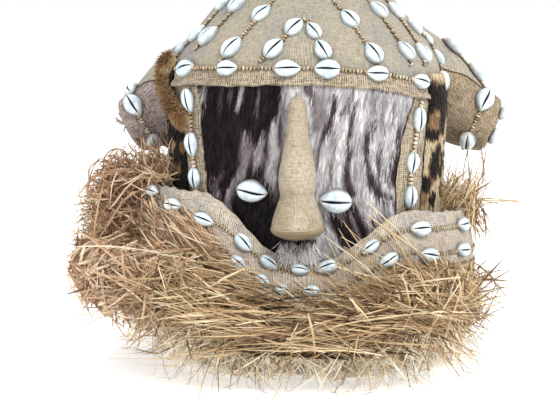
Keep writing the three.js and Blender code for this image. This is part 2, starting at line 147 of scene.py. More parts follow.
def woven(name, ground, stain, gap, across, along, blotch, relief, ribs=0.0, pits=1.0):
    """Hand-woven raffia palm cloth: dull flat strips of leaf, so it is matt with a slight sheen, uneven in
    tone from strip to strip. The pits between the strips are painted dark, as painted shade, and the
    highest knots pale, as a painted highlight. across and along are the thread spacings in millimetres,
    wider than the real 0.8 mm so that they show in the render."""
    material, tree, shader = start_material(name, Roughness=0.88, Sheen_Weight=0.08, Sheen_Roughness=0.6)
    shader.inputs["Specular IOR Level"].default_value = 0.2
    place = add_node(tree, "TexCoord").outputs
    wander = add_node(tree, "TexNoise", {"Vector": place["Object"], "Scale": 60.0, "Detail": 2.0})
    bend = add_node(tree, "VectorMath", {0: wander.outputs["Color"], 1: (0.004, 0.004, 0)},
                    operation="MULTIPLY")
    cloth = add_node(tree, "VectorMath", {0: place["UV"], 1: bend.outputs[0]}, operation="ADD").outputs[0]
    warp = add_node(tree, "TexWave", {"Vector": cloth, "Scale": wave_scale(across)}, bands_direction="X")
    weft = add_node(tree, "TexWave", {"Vector": cloth, "Scale": wave_scale(along)}, bands_direction="Y")
    crossing = add_node(tree, "Math", {0: warp.outputs["Fac"], 1: weft.outputs["Fac"]}, operation="MULTIPLY")
    threads = add_node(tree, "Mix", {0: ribs, 2: crossing.outputs[0], 3: warp.outputs["Fac"]}).outputs[0]
    strip_tones = []
    for spacing in ((1000 / across, 150 / along, 1), (150 / across, 1000 / along, 1)):
        drawn = add_node(tree, "Mapping", {"Vector": cloth, "Scale": spacing})
        strips = add_node(tree, "TexNoise", {"Vector": drawn.outputs[0], "Scale": 1.0, "Detail": 1.0})
        strip_tones.append(strips.outputs["Fac"])
    strips = add_node(tree, "Math", {0: strip_tones[0], 1: strip_tones[1]}, operation="ADD").outputs[0]
    knots = add_node(tree, "TexNoise", {"Vector": place["Object"], "Scale": 420.0, "Detail": 3.0,
                                        "Roughness": 0.75})
    patch = add_node(tree, "TexNoise", {"Vector": place["Object"], "Scale": blotch, "Detail": 4.0,
                                        "Roughness": 0.6})
    spread = add_node(tree, "MapRange", {"Value": patch.outputs["Fac"], "From Min": 0.45, "From Max": 0.62})
    toned = add_node(tree, "Mix", {0: spread.outputs[0], 6: linear(ground), 7: linear(stain)},
                     data_type="RGBA")
    # Height: threads, then the strips' own unevenness, then knots
    uneven = add_node(tree, "Math", {0: strips, 1: 0.9, 2: threads}, operation="MULTIPLY_ADD")
    height = add_node(tree, "Math", {0: knots.outputs["Fac"], 1: 1.3, 2: uneven.outputs[0]},
                      operation="MULTIPLY_ADD")
    # Painted shade: the low places between the strips are mixed towards the dark pit colour.
    pit = add_node(tree, "MapRange", {"Value": height.outputs[0], "From Min": 1.9, "From Max": 1.3,
                                      "To Max": pits})
    pit_shaded = add_node(tree, "Mix", {0: pit.outputs[0], 6: toned.outputs[2], 7: linear(gap)}, data_type="RGBA")
    # Painted highlight: the highest knots are mixed towards pale straw.
    knot = add_node(tree, "MapRange", {"Value": height.outputs[0], "From Min": 2.1, "From Max": 2.7,
                                       "To Max": 0.5})
    seen = add_node(tree, "Mix", {0: knot.outputs[0], 6: pit_shaded.outputs[2], 7: linear("#eadabd")},
                    data_type="RGBA")
    bump = add_node(tree, "Bump", {"Height": height.outputs[0], "Strength": relief, "Distance": 0.0008})
    tree.links.new(seen.outputs[2], shader.inputs["Base Color"])
    tree.links.new(bump.outputs[0], shader.inputs["Normal"])
    return material


# Each cloth's third colour is painted shade for the pits between its strips.
HOOD_CLOTH = woven("raffia_cloth", "#a39b89", "#918d89", "#625b4e", 1.4, 1.3, 13.0, 0.35, pits=0.7)
HEM_CLOTH = woven("raffia_cloth_ribbed", "#ab9d89", "#998b75", "#4a3b2a", 1.8, 1.7, 30.0, 0.5, 0.2, 1.1)
COLLAR_CLOTH = woven("raffia_cloth_worn", "#c1b8a5", "#aaa39e", "#6b5c48", 1.5, 1.5, 22.0, 0.5, 0.2, 1.1)
COLLAR_RIBBED = woven("raffia_cloth_collar", "#b0a597", "#9f9088", "#655341", 1.6, 1.6, 30.0, 0.45, 0.35, 0.8)
EAR_CLOTH = {
    "left": woven("raffia_cloth_brown", "#b09f9b", "#87798e", "#4d3f3c", 1.6, 1.6, 18.0, 0.8, 0.1, 1.2),
    "right": woven("raffia_cloth_tan", "#a9977c", "#8b7c6a", "#574635", 1.5, 1.5, 18.0, 0.7, 0.0, 1.1),
}
NOSE_CLOTH = woven("raffia_cloth_tight", "#b5a996", "#a5967f", "#705e47", 1.3, 1.3, 26.0, 0.45, pits=0.75)


def fibrous(name, stops, roughness, sheen, streak, mottle):
    """Hair, fur or loose fibre. The mesh's tone attribute says how pale it is, and streaks about streak
    millimetres wide shift that over a range of up to mottle."""
    material, tree, shader = start_material(name, Roughness=roughness, Sheen_Weight=sheen,
                                            Sheen_Roughness=0.5)
    shader.inputs["Specular IOR Level"].default_value = 0.15
    place = add_node(tree, "TexCoord").outputs["Object"]
    tone = add_node(tree, "Attribute", attribute_name="tone", attribute_type="GEOMETRY").outputs["Fac"]
    spacing = (1000 / streak, 1000 / streak, 180 / streak)
    drawn = add_node(tree, "Mapping", {"Vector": place, "Scale": spacing})
    grain = add_node(tree, "TexNoise", {"Vector": drawn.outputs[0], "Scale": 1.0, "Detail": 3.0})
    shift = add_node(tree, "Math", {0: grain.outputs["Fac"], 1: mottle, 2: -mottle / 2},
                     operation="MULTIPLY_ADD")
    sum_tone = add_node(tree, "Math", {0: tone, 1: shift.outputs[0]}, operation="ADD")
    colour = add_node(tree, "ValToRGB", {"Fac": sum_tone.outputs[0]}, stops)
    tree.links.new(colour.outputs["Color"], shader.inputs["Base Color"])
    return material


# Hide with the hair on: straight glossy hair, nearly black, mauve-brown or white as it grows in streaks.
HIDE_HAIR = fibrous(
    "goat_hide",
    [(0.0, "#0b0709"), (0.2, "#221619"), (0.4, "#50434a"), (0.58, "#7e7677"), (0.78, "#a3a1a2"),
     (1.0, "#f2f0ec")],
    0.55, 0.0, 1.4, 0.24,
)
# Spotted cat fur: soft short hair with black rosettes on tan that pales to its tips.
SPOTTED_FUR = fibrous(
    "spotted_fur",
    [(0.0, "#0b0a0b"), (0.22, "#1b1412"), (0.4, "#6a4f3a"), (0.58, "#9e7b55"), (0.78, "#c0ad85"),
     (1.0, "#ddd3ba")],
    0.75, 0.15, 1.5, 0.14,
)
# The same cat's fur where the cheek's edge is rolled: rust brown, pale at its tips.
ROLLED_FUR = fibrous(
    "rolled_fur",
    [(0.0, "#1d1209"), (0.25, "#52351c"), (0.45, "#84603b"), (0.62, "#a07e54"), (0.8, "#bfa77e"),
     (1.0, "#ddd0b0")],
    0.75, 0.15, 1.5, 0.2,
)


def raffia_leaf(name, *colours):
    """Dry folded palm leaf, slightly glossy, its colours from its darkest, for leaf that is old and as
    painted shade for leaf deep in the ruff, to its palest.
    """
    return fibrous(name, list(zip((0.0, 0.2, 0.42, 0.6, 0.8, 1.0), colours)), 0.6, 0.05, 5.0, 0.28)


# Loose raffia: from pale straw to brown where it is old, and darker still as painted shade where it lies deep
# in the ruff.
LOOSE_RAFFIA = raffia_leaf("loose_raffia", "#1a120c", "#433120", "#7a6043", "#a78966", "#ccb48c", "#e4d6b8")
# Shorter and older leaf on the ruff's left: redder.
BROWN_RAFFIA = raffia_leaf("brown_raffia", "#1d130e", "#463123", "#7f5f48", "#aa886a", "#ceb392", "#e6d6bc")
# Leaf at the ruff's foot: paler than the rest, painted light that offsets the shade under the ruff.
LIGHTENED_RAFFIA = raffia_leaf("pale_raffia", "#2a2118", "#5b4a35", "#a58d70", "#cfbb9b", "#eaddc2", "#f8f2e2")
# Stitches and cords: raffia twisted hard. Each stitch is painted paler on its rounded top, a painted
# highlight, and darker where it enters the cloth, painted shade.
STITCH_FIBRE = fibrous(
    "twisted_raffia",
    [(0.0, "#2f251b"), (0.3, "#6c5840"), (0.6, "#a69679"), (0.85, "#cfc4ac"), (1.0, "#e9e2d3")],
    0.7, 0.1, 1.2, 0.2,
)


def cowrie_material():
    """A money cowrie: naturally glazed shell, like porcelain, so it is hard, white and glossy, bluish in
    shade, faintly mottled and creamy at its ends, with a toothed slit, which is painted near black as the
    shade in its narrow opening. Painted shade also darkens its rim, where it sits on the cloth."""
    material, tree, shader = start_material("cowrie_shell", Roughness=0.3, IOR=1.5, Coat_Weight=0.2,
                                            Coat_Roughness=0.12)
    place = add_node(tree, "TexCoord").outputs
    parts = add_node(tree, "SeparateXYZ", {0: place["UV"]}).outputs
    tint = add_node(tree, "TexNoise", {"Vector": place["Object"], "Scale": 160.0, "Detail": 3.0})
    body = add_node(tree, "ValToRGB", {"Fac": tint.outputs["Fac"]},
                    [(0.32, "#aebfca"), (0.5, "#cad7dd"), (0.68, "#dbe2e3")])
    off_slit = add_node(tree, "Math", {0: parts["Y"]}, operation="ABSOLUTE").outputs[0]
    # Painted shade: the shell darkens towards its rim, as the contact shadow where it meets the cloth.
    low = add_node(tree, "MapRange", {"Value": off_slit, "From Min": 0.78, "From Max": 1.0, "To Max": 0.85})
    shaded_rim = add_node(tree, "Mix", {0: low.outputs[0], 6: body.outputs["Color"], 7: linear("#625c53")},
                      data_type="RGBA")
    end = add_node(tree, "Math", {0: parts["X"]}, operation="ABSOLUTE")
    to_end = add_node(tree, "MapRange", {"Value": end.outputs[0], "From Min": 0.75, "From Max": 1.0,
                                         "To Max": 0.6})
    creamy = add_node(tree, "Mix", {0: to_end.outputs[0], 6: shaded_rim.outputs[2], 7: linear("#b3a489")},
                      data_type="RGBA")
    # The slit, painted near black as the shade in its narrow opening, is widest towards the narrow end and
    # closes before the wide one.
    width = add_node(tree, "MapRange", {"Value": parts["X"], "From Min": -0.95, "From Max": 0.4,
                                        "To Min": 0.045, "To Max": 0.115})
    closed = add_node(tree, "MapRange", {"Value": parts["X"], "From Min": 0.75, "From Max": 0.92,
                                         "To Min": 1.0, "To Max": 0.0})
    open_width = add_node(tree, "Math", {0: width.outputs[0], 1: closed.outputs[0]}, operation="MULTIPLY")
    inside = add_node(tree, "Math", {0: open_width.outputs[0], 1: off_slit}, operation="SUBTRACT")
    dark = add_node(tree, "MapRange", {"Value": inside.outputs[0], "From Min": -0.03, "From Max": 0.012})
    colour = add_node(tree, "Mix", {0: dark.outputs[0], 6: creamy.outputs[2], 7: linear("#14151c")},
                      data_type="RGBA")
    tree.links.new(colour.outputs[2], shader.inputs["Base Color"])
    return material


COWRIE = cowrie_material()


def floor_material(name, colour, glow):
    """An even matt floor, lit a little from below as a light table is, so that shadows on it stay faint."""
    material, _, shader = start_material(name, Roughness=0.9, Emission_Strength=glow)
    shader.inputs["Base Color"].default_value = linear(colour)
    shader.inputs["Emission Color"].default_value = linear(colour)
    return material


world = bpy.data.worlds.new("studio")
world.use_nodes = True
world.node_tree.nodes["Background"].inputs["Color"].default_value = (1, 1, 1, 1)
world.node_tree.nodes["Background"].inputs["Strength"].default_value = 1.0
scene.world = world


# The helmet's surfaces, as in the CAD

WALL = 6
CROWN_TOP = 395
TRUNK_ARC_RADIUS = 85
TRUNK_ARC = math.radians(140)
TRUNK_ROOT_RADIUS = 40
TRUNK_TIP_RADIUS = 17
CEILING = 350
BROW_RISE = 6
BROW_DROP = 12.2
BROW_END = {-1: 112, 1: 104}
SIDE_BAND_SEAM = 1.5
SIDE_BAND_BOTTOM = 132
LEOPARD_REAR_Y = -32
LEOPARD_BOTTOM = 126
LEOPARD_TOP = {-1: 271, 1: 259}
CHIN_HALF_ARC = math.radians(87)
CHIN_BAND_WIDTH = 50
CHIN_TILT = -0.085
RUFF_HALF_WIDTH = 212
RUFF_HALF_DEPTH = 215
RUFF_SQUARENESS = 2.2
RUFF_BACK_TOP = 165
NOSE_X = -4.5
NOSE_TOP = 241
NOSE_BOTTOM = 120
NOSE_BASE = 5
ON_CLOTH = 3  # how far a band's outside is off the hood
ON_HIDE = 4  # and a hide's

# Height, half width, reach to the front, reach to the back, squareness
HELMET_STATIONS = [
    [0, 112, 118, 124, 2.4],
    [60, 115, 122, 127, 2.5],
    [120, 119, 127, 130, 2.7],
    [190, 122, 131, 132, 2.8],
    [248, 124, 132, 132, 2.8],
    [268, 122, 130, 130, 2.6],
    [285, 114, 121, 122, 2.4],
    [305, 99, 105, 107, 2.2],
    [328, 81, 87, 88, 2.0],
    [360, 58, 62, 62, 2.0],
    [CROWN_TOP, 42, 44, 43, 2.0],
]
# Height above the nose's foot, half width, projection
NOSE_STATIONS = [
    [0, 11, 26],
    [5, 20.5, 36],
    [11, 22, 40],
    [20, 20, 37],
    [30, 16.5, 29],
    [36, 13.5, 24],
    [42, 15.5, 27],
    [53, 16, 26],
    [68, 13.5, 21],
    [88, 9.5, 15],
    [112, 7.5, 11],
    [121, 6, 7],
]


def station_at(table, at):
    """Reads a table of stations at a height, through the cubic between its neighbours."""
    last = len(table) - 1
    i = 0
    while i < last - 1 and table[i + 1][0] < at:
        i += 1
    before, low, high, after = [row(*table[k]) for k in (max(i - 1, 0), i, i + 1, min(i + 2, last))]
    span = high[0] - low[0]
    t = min(max((at - low[0]) / span, 0), 1)
    leave = (high - before) / (high[0] - before[0]) * span
    arrive = (after - low) / (after[0] - low[0]) * span
    rise = high - low
    return (low + t * leave + t**2 * (3 * rise - 2 * leave - arrive) + t**3 * (leave + arrive - 2 * rise))[1:]


def smooth_table(table):
    """The table's columns at every millimetre, as a function of an array of heights."""
    heights = np.arange(table[0][0], table[-1][0] + 1)
    columns = np.array([station_at(table, z) for z in heights]).T
    return lambda at: [np.interp(at, heights, column) for column in columns]


helmet_station = smooth_table(HELMET_STATIONS)
nose_station = smooth_table(NOSE_STATIONS)


def lerp(low, high, share):
    return low + (high - low) * share


def smoothstep(x, low, high):
    t = np.clip((x - low) / (high - low), 0, 1)
    return t * t * (3 - 2 * t)


def line_at(at, steps, line):
    """Points read at places along a line, whose own points are at steps."""
    return np.stack([np.interp(at, steps, line[:, k]) for k in range(3)], -1)


def ripple(points):
    """How far cloth stands off its even shape at some points, from -1 to 1."""
    x, y, z = np.moveaxis(points, -1, 0)
    waves = np.sin(x / 9 + 1.7 * np.sin(z / 15 + 1)) * np.cos(z / 11 + y / 13)
    return 0.6 * waves + 0.4 * np.sin(z / 27 + x / 19 + 2 * np.sin(y / 31))


def helmet_flat(angle, height):
    half_width, front, back, squareness = helmet_station(height)
    sine, cosine = np.sin(angle), np.cos(angle)
    across = np.sign(sine) * np.abs(sine) ** (2 / squareness)
    along = np.sign(cosine) * np.abs(cosine) ** (2 / squareness)
    reach = np.where(along > 0, front, back)
    return np.stack(np.broadcast_arrays(half_width * across, -along * reach, height), -1)


def helmet_normal(angle, height):
    around = helmet_flat(angle + 0.02, height) - helmet_flat(angle - 0.02, height)
    upward = helmet_flat(angle, height + 1) - helmet_flat(angle, height - 1)
    return unit(np.cross(around, upward))


def helmet_point(angle, height, lift=0.0):
    """Points of the hood's outside, moved out by lift, where the cloth ripples a little."""
    angle, height, lift = np.broadcast_arrays(*[np.asarray(v, float) for v in (angle, height, lift)])
    here = helmet_flat(angle, height)
    return here + helmet_normal(angle, height) * (lift + 0.35 * ripple(here))[..., None]


def angle_at_x(x, height):
    half_width, _, _, squareness = helmet_station(height)
    share = np.minimum(np.abs(x) / half_width, 0.9999)
    return np.sign(x) * np.arcsin(share ** (squareness / 2))


def angle_at_y(y, height):
    _, front, _, squareness = helmet_station(height)
    return np.arccos((-y / front) ** (squareness / 2))


def trunk_point(angle, along, radius):
    """Points off the trunk's axis, which rises from the crown and bends forwards. along is 0 to 1."""
    angle, along, radius = np.broadcast_arrays(*[np.asarray(v, float) for v in (angle, along, radius)])
    turn = along * TRUNK_ARC
    zero = np.zeros_like(turn)
    centre = np.stack(
        [zero, TRUNK_ARC_RADIUS * (np.cos(turn) - 1), CROWN_TOP + TRUNK_ARC_RADIUS * np.sin(turn)], -1
    )
    front = np.stack([zero, -np.cos(turn), -np.sin(turn)], -1)
    side = row(1, 0, 0)
    return centre + front * (radius * np.cos(angle))[..., None] + side * (radius * np.sin(angle))[..., None]


def trunk_radius(along):
    taper = lerp(TRUNK_ROOT_RADIUS, TRUNK_TIP_RADIUS, np.asarray(along, float) ** 0.8)
    return taper + 3 * np.exp(-(((along - 0.96) / 0.07) ** 2))


def brow_line(x):
    return 262.5 - 0.0011 * np.maximum(x, 0) ** 2


def face_edge(side, height):
    left = 88 - 0.075 * (247 - height)
    right = 76.5 + 0.0021 * np.maximum(height - 155, 0) ** 2
    return np.where(np.asarray(side) < 0, left, right)


def band_edge(side, height):
    return face_edge(side, height) + SIDE_BAND_SEAM + 15 if side < 0 else 99 + 0.065 * (height - 150)


def chin_top(angle):
    x = 150 * np.sin(angle)
    climb = 52 * smoothstep(np.abs(x), 0, np.where(x < 0, 82, 94))
    return 100 + climb + CHIN_TILT * x


def chin_width(angle):
    return CHIN_BAND_WIDTH * lerp(0.64, 1, np.abs(np.sin(angle)) ** 0.7)


def chin_point(angle, down, lift):
    side = np.abs(np.sin(angle))
    stand = lerp(6, 24, side**2)
    flare = down * lerp(24, 12, side) + 3 * np.sin(np.pi * down)
    return helmet_point(angle, chin_top(angle) - down * chin_width(angle), stand + flare + lift)


EARS = {
    "left": {"side": -1, "middle": row(151, -4, 218), "droop": 27, "low": 199, "high": 297},
    "right": {"side": 1, "middle": row(156, -4, 218), "droop": 21, "low": 220, "high": 306},
}
EAR_RADIUS = 28
EAR_END = 19
EAR_SHOULDER = 1.72
EAR_END_BULGE = 7
EAR_BULGE = 6
EAR_ROOT_X = 104
EAR_ROOT_HALF_DEPTH = 32


def ear_axes(ear):
    droop = math.radians(ear["droop"])
    outward = unit(row(math.cos(droop), -0.06, -math.sin(droop)))
    to_back = unit(np.cross(row(0, 0, 1), outward))
    return outward, to_back, np.cross(outward, to_back)


def ear_point(ear, along, turn, lift=0.0):
    """Points of an ear, along from 0 at its root to 1 at its ring of shells, turned backwards from its
    top."""
    along, turn, lift = np.broadcast_arrays(*[np.asarray(v, float) for v in (along, turn, lift)])
    outward, to_back, to_top = ear_axes(ear)
    past = np.maximum(along - 1, 0) * EAR_END
    radius = EAR_RADIUS - 0.01 * past * past
    ring = (
        ear["middle"]
        + outward * past[..., None]
        + to_top * (radius * np.cos(turn))[..., None]
        + to_back * (radius * np.sin(turn))[..., None]
    )
    narrow = 1 - 0.45 * np.maximum(np.cos(turn), 0) ** 2
    middle_height, half_height = (ear["low"] + ear["high"]) / 2, (ear["high"] - ear["low"]) / 2
    root = np.stack(
        [
            np.full(turn.shape, EAR_ROOT_X),
            EAR_ROOT_HALF_DEPTH * np.sin(turn) * narrow,
            middle_height + half_height * np.cos(turn),
        ],
        -1,
    )
    share = np.clip(along, None, 1)
    bulge = EAR_BULGE * np.sin(np.pi * np.clip(share, 0, 1)) * np.cos(turn)
    points = lerp(root, ring, share[..., None]) + to_top * bulge[..., None]
    away = to_top * np.cos(turn)[..., None] + to_back * np.sin(turn)[..., None]
    points = points + away * (lift + 0.4 * ripple(points))[..., None]
    return points * row(ear["side"], 1, 1)


# Where the seam between an ear's roof and its front runs: along the ear, and degrees from its top
EAR_SEAM = {
    "left": ([0.1, 0.63, 0.9, 1.1], [-72, -51, -24, 0]),
    "right": ([0.1, 0.47, 0.88, 1.1], [-76, -61, -30, -8]),
}


def ear_place(ear, point):
    """How far along an ear a point is, and how many degrees it is turned from the ear's top."""
    outward, to_back, to_top = [axis * row(ear["side"], 1, 1) for axis in ear_axes(ear)]
    middle = ear["middle"] * row(ear["side"], 1, 1)
    root = row(ear["side"] * EAR_ROOT_X, 0, (ear["low"] + ear["high"]) / 2)
    run = middle - root
    share = (point - root) @ run / (run @ run)
    past = (point - middle) @ outward
    centre = lerp(root, middle, min(share, 1))
    away = point - centre
    turn = math.degrees(math.atan2(away @ to_back, away @ to_top))
    return (share if past < 0 else 1 + past / EAR_END), turn


# Making meshes


def draped(across, along, place, cloth):
    """A grid moved to place(u, v), with u and v from 0 to 1. Its UV map is its cloth's size in metres."""
    bm = bmesh.new()
    weave = bm.loops.layers.uv.new("cloth")
    bmesh.ops.create_grid(bm, x_segments=across, y_segments=along, size=0.5, calc_uvs=True)
    for face in bm.faces:
        for loop in face.loops:
            loop[weave].uv = (loop[weave].uv.x * cloth[0] * MM, loop[weave].uv.y * cloth[1] * MM)
    shares = np.array([vert.co[:2] for vert in bm.verts]) + 0.5
    for vert, point in zip(bm.verts, place(shares[:, 0], shares[:, 1])):
        vert.co = Vector(point) * MM
    return bm


def thicken(bm, thickness):
    """Gives a grid a wall on its inner side."""
    bmesh.ops.solidify(bm, geom=bm.faces[:], thickness=thickness * MM)


def vertex_places(mesh):
    """The places of a mesh's vertices, in metres."""
    flat = np.empty(len(mesh.vertices) * 3, np.float32)
    mesh.vertices.foreach_get("co", flat)
    return flat.reshape(-1, 3)


def store_tone(mesh, tone):
    """Stores a tone for every vertex, which the material reads."""
    mark = mesh.attributes.new("tone", "FLOAT", "POINT")
    mark.data.foreach_set("value", tone.astype(np.float32))


def settle(bm):
    """Welds seams and poles and turns every face outwards."""
    bmesh.ops.remove_doubles(bm, verts=bm.verts, dist=0.00002)
    bmesh.ops.recalc_face_normals(bm, faces=bm.faces)


def show(name, mesh, material, replaced=(), smooth=True):
    """Puts a mesh or bmesh into the scene as a finished piece that rides on the mask."""
    if isinstance(mesh, bmesh.types.BMesh):
        data = bpy.data.meshes.new(name)
        mesh.to_mesh(data)
        mesh.free()
        mesh = data
    for part in material if isinstance(material, list) else [material]:
        mesh.materials.append(part)
    mesh.polygons.foreach_set("use_smooth", [smooth] * len(mesh.polygons))
    piece = bpy.data.objects.new(name, mesh)
    scene.collection.objects.link(piece)
    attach(piece, "root")
    if replaced:
        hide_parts(*replaced)
    return piece


ROW_STEP = 4


def row_of_tubes(count, rings, corners):
    """A mesh of straight upright tubes in a row, ROW_STEP apart, with closed ends and a ring at each unit."""
    bm = bmesh.new()
    bmesh.ops.create_circle(bm, segments=corners, radius=1)
    edges = bm.edges[:]
    bmesh.ops.contextual_create(bm, geom=edges)
    for _ in range(rings - 1):
        made = bmesh.ops.extrude_edge_only(bm, edges=edges)["geom"]
        edges = [part for part in made if isinstance(part, bmesh.types.BMEdge)]
        raised = [part for part in made if isinstance(part, bmesh.types.BMVert)]
        bmesh.ops.translate(bm, verts=raised, vec=(0, 0, 1))
    bmesh.ops.contextual_create(bm, geom=edges)
    bmesh.ops.recalc_face_normals(bm, faces=bm.faces)
    mesh = bpy.data.meshes.new("tube")
    bm.to_mesh(mesh)
    bm.free()
    holder = bpy.data.objects.new("tube", mesh)
    scene.collection.objects.link(holder)
    repeat = holder.modifiers.new("repeat", "ARRAY")
    repeat.count = count
    repeat.use_relative_offset = False
    repeat.use_constant_offset = True
    repeat.constant_offset_displace = (ROW_STEP, 0, 0)
    repeated = bpy.data.meshes.new_from_object(holder.evaluated_get(bpy.context.evaluated_depsgraph_get()))
    bpy.data.objects.remove(holder)
    bpy.data.meshes.remove(mesh)
    return repeated


def strands(paths, width, depth, over, corners, tone):
    """A mesh of closed strands. paths are points (strand, ring, 3); width and depth are each ring's half
    sizes; over is the direction that a strand's upper side faces; tone goes to the material."""
    count, rings = paths.shape[:2]
    mesh = row_of_tubes(count, rings, corners)
    tubes = vertex_places(mesh).astype(float)
    strand = np.floor((tubes[:, 0] + ROW_STEP / 2) / ROW_STEP).astype(int)
    ring = np.rint(tubes[:, 2]).astype(int)
    x, y = tubes[:, 0] - ROW_STEP * strand, tubes[:, 1]
    heading = unit(np.gradient(paths, axis=1))
    side = unit(np.cross(np.broadcast_to(over, paths.shape), heading))
    above = np.cross(heading, side)
    width, depth, tone = (np.broadcast_to(v, (count, rings)) for v in (width, depth, tone))
    place = (
        paths[strand, ring]
        + side[strand, ring] * (x * width[strand, ring])[:, None]
        + above[strand, ring] * (y * depth[strand, ring])[:, None]
    )
    mesh.vertices.foreach_set("co", (place * MM).astype(np.float32).ravel())
    store_tone(mesh, tone[strand, ring])
    mesh.update()
    return mesh


# The hood and the trunk: one skin of cloth, lofted from the ceiling inside, round the rim and up to the tip

AROUND = 160
inner_heights = list(np.linspace(CEILING, 0, 26))
outer_heights = list(np.linspace(0, CROWN_TOP, 100))
trunk_shares = list(np.linspace(0, 1, 48)[1:])
hood_rows = len(inner_heights) + len(outer_heights) + len(trunk_shares) + 2


def hood_skin(u, v):
    """Rows of the hood: a pole at the ceiling, the inside down, the outside up, the trunk and a pole."""
    angle = 2 * np.pi * u + np.pi
    at = np.rint(v * (hood_rows - 1)).astype(int) - 1
    points = np.zeros((len(u), 3))
    first, second = len(inner_heights), len(inner_heights) + len(outer_heights)
    inside = (at >= 0) & (at < first)
    outside = (at >= first) & (at < second)
    trunk = (at >= second) & (at < hood_rows - 2)
    heights = np.array(inner_heights)[np.clip(at, 0, first - 1)]
    points[inside] = helmet_point(angle[inside], heights[inside], -WALL)
    points[inside, 2] = heights[inside]
    heights = np.array(outer_heights)[np.clip(at - first, 0, len(outer_heights) - 1)]
    points[outside] = helmet_point(angle[outside], heights[outside])
    shares = np.array(trunk_shares)[np.clip(at - second, 0, len(trunk_shares) - 1)]
    radius = trunk_radius(shares[trunk])
    plain = trunk_point(angle[trunk], shares[trunk], radius)
    points[trunk] = trunk_point(angle[trunk], shares[trunk], radius + 0.5 * ripple(plain))
    points[at < 0] = (0, 0, CEILING)
    points[at == hood_rows - 2] = trunk_point(0, 1, 0)
    return points


bm = draped(AROUND, hood_rows - 1, hood_skin, (720, 1050))
settle(bm)
hood_tree = BVHTree.FromBMesh(bm)
show("hood_skin", bm, HOOD_CLOTH, ["hood"])


# The ears: barrels of cloth that run out of the hood, wide where they leave it, with a sewn roof seam

for name, ear in EARS.items():

    def ear_skin(u, v, ear=ear):
        turn = 2 * np.pi * u + np.pi
        along = np.interp(v, [0, 0.25, 0.7, 0.85], [0, 0.3, 1, EAR_SHOULDER])
        points = ear_point(ear, along, turn)
        mirror = row(ear["side"], 1, 1)
        outward = ear_axes(ear)[0] * mirror
        rim_middle = ear["middle"] * mirror + outward * EAR_END * (EAR_SHOULDER - 1)
        close = np.clip((v - 0.85) / 0.15, 0, 1) * np.pi / 2
        closing = (points - rim_middle) * np.cos(close)[:, None]
        bulging = outward * (EAR_END_BULGE * np.sin(close))[:, None]
        end = rim_middle + closing + bulging
        return np.where((v > 0.85)[:, None], end, points)

    bm = draped(84, 66, ear_skin, (190, 105))
    # Cloth that would run into the hood ends just under its surface
    for vert in bm.verts:
        point = row(*vert.co) / MM
        near, normal, _, _ = hood_tree.find_nearest(vert.co)
        depth = (point - row(*near) / MM) @ row(*normal)
        if depth < -1 or point[0] * ear["side"] < EAR_ROOT_X + 0.5:
            vert.co = near - normal * MM
    bmesh.ops.remove_doubles(bm, verts=bm.verts, dist=0.00002)
    bmesh.ops.holes_fill(bm, edges=[edge for edge in bm.edges if edge.is_boundary], sides=0)
    settle(bm)
    ear["tree"] = BVHTree.FromBMesh(bm)
    # The roof is of the hood's cloth, from seam to seam
    seam = [(share, np.interp(share, *EAR_SEAM[name])) for share in np.linspace(0.1, 1.1, 11)]
    seam = [ear_place(ear, ear_point(ear, share, math.radians(degrees))) for share, degrees in seam]
    for face in bm.faces:
        share, turn = ear_place(ear, row(*face.calc_center_median()) / MM)
        roof_edge = np.interp(share, [at for at, _ in seam], [abs(edge) for _, edge in seam])
        face.material_index = int(abs(turn) < roof_edge)
    show(f"ear_skin_{name}", bm, [EAR_CLOTH[name], HOOD_CLOTH], [f"ear_{name}"])


# The face panels

def hem_wave(x):
    """The wander of a hand-cut edge, in millimetres."""
    return 0.6 * np.sin(x / 7.3 + 1.3 * np.sin(x / 17)) + 0.5 * np.sin(x / 3.1 + 2) * np.sin(x / 29)


def brow_skin(u, v):
    x = lerp(-BROW_END[-1], BROW_END[1], u)
    height = brow_line(x) + lerp(-BROW_DROP + hem_wave(x), BROW_RISE - 3 + 0.4 * hem_wave(x + 50), v)
    lip = 3.2 * smoothstep(-v, -0.34, 0)
    sunk = (ON_CLOTH + 1.5) * smoothstep(v, 0.72, 1)
    return helmet_point(angle_at_x(x, height), height, ON_CLOTH + lip - sunk)


bm = draped(150, 12, brow_skin, (216, 20.5))
thicken(bm, 2)
settle(bm)
brow_band = show("brow_hem", bm, HEM_CLOTH, ["brow_band"])

for name, side in (("left", -1), ("right", 1)):

    def side_skin(u, v, side=side):
        edges = [face_edge(side, 238) + SIDE_BAND_SEAM, band_edge(side, 238)]
        top = brow_line(side * lerp(*edges, u)) - BROW_DROP + 3
        height = lerp(SIDE_BAND_BOTTOM, top, v)
        inner = face_edge(side, height) + SIDE_BAND_SEAM - 2 - 0.7 * hem_wave(height + 30 * side)
        x = lerp(inner, band_edge(side, height) + 0.4 * hem_wave(height), u)
        lip = 3 * (1 - smoothstep(u, 0, 0.3))
        under_hem = 1.5 * smoothstep(v, 0.94, 0.97)
        return helmet_point(angle_at_x(side * x, height), height, ON_CLOTH + lip - under_hem)

    bm = draped(12, 70, side_skin, ((16, 110), (24, 106))[side > 0])
    if side < 0:
        bmesh.ops.reverse_faces(bm, faces=bm.faces)
    thicken(bm, 2)
    settle(bm)
    band = show(f"side_hem_{name}", bm, HEM_CLOTH, [f"side_band_{name}"])

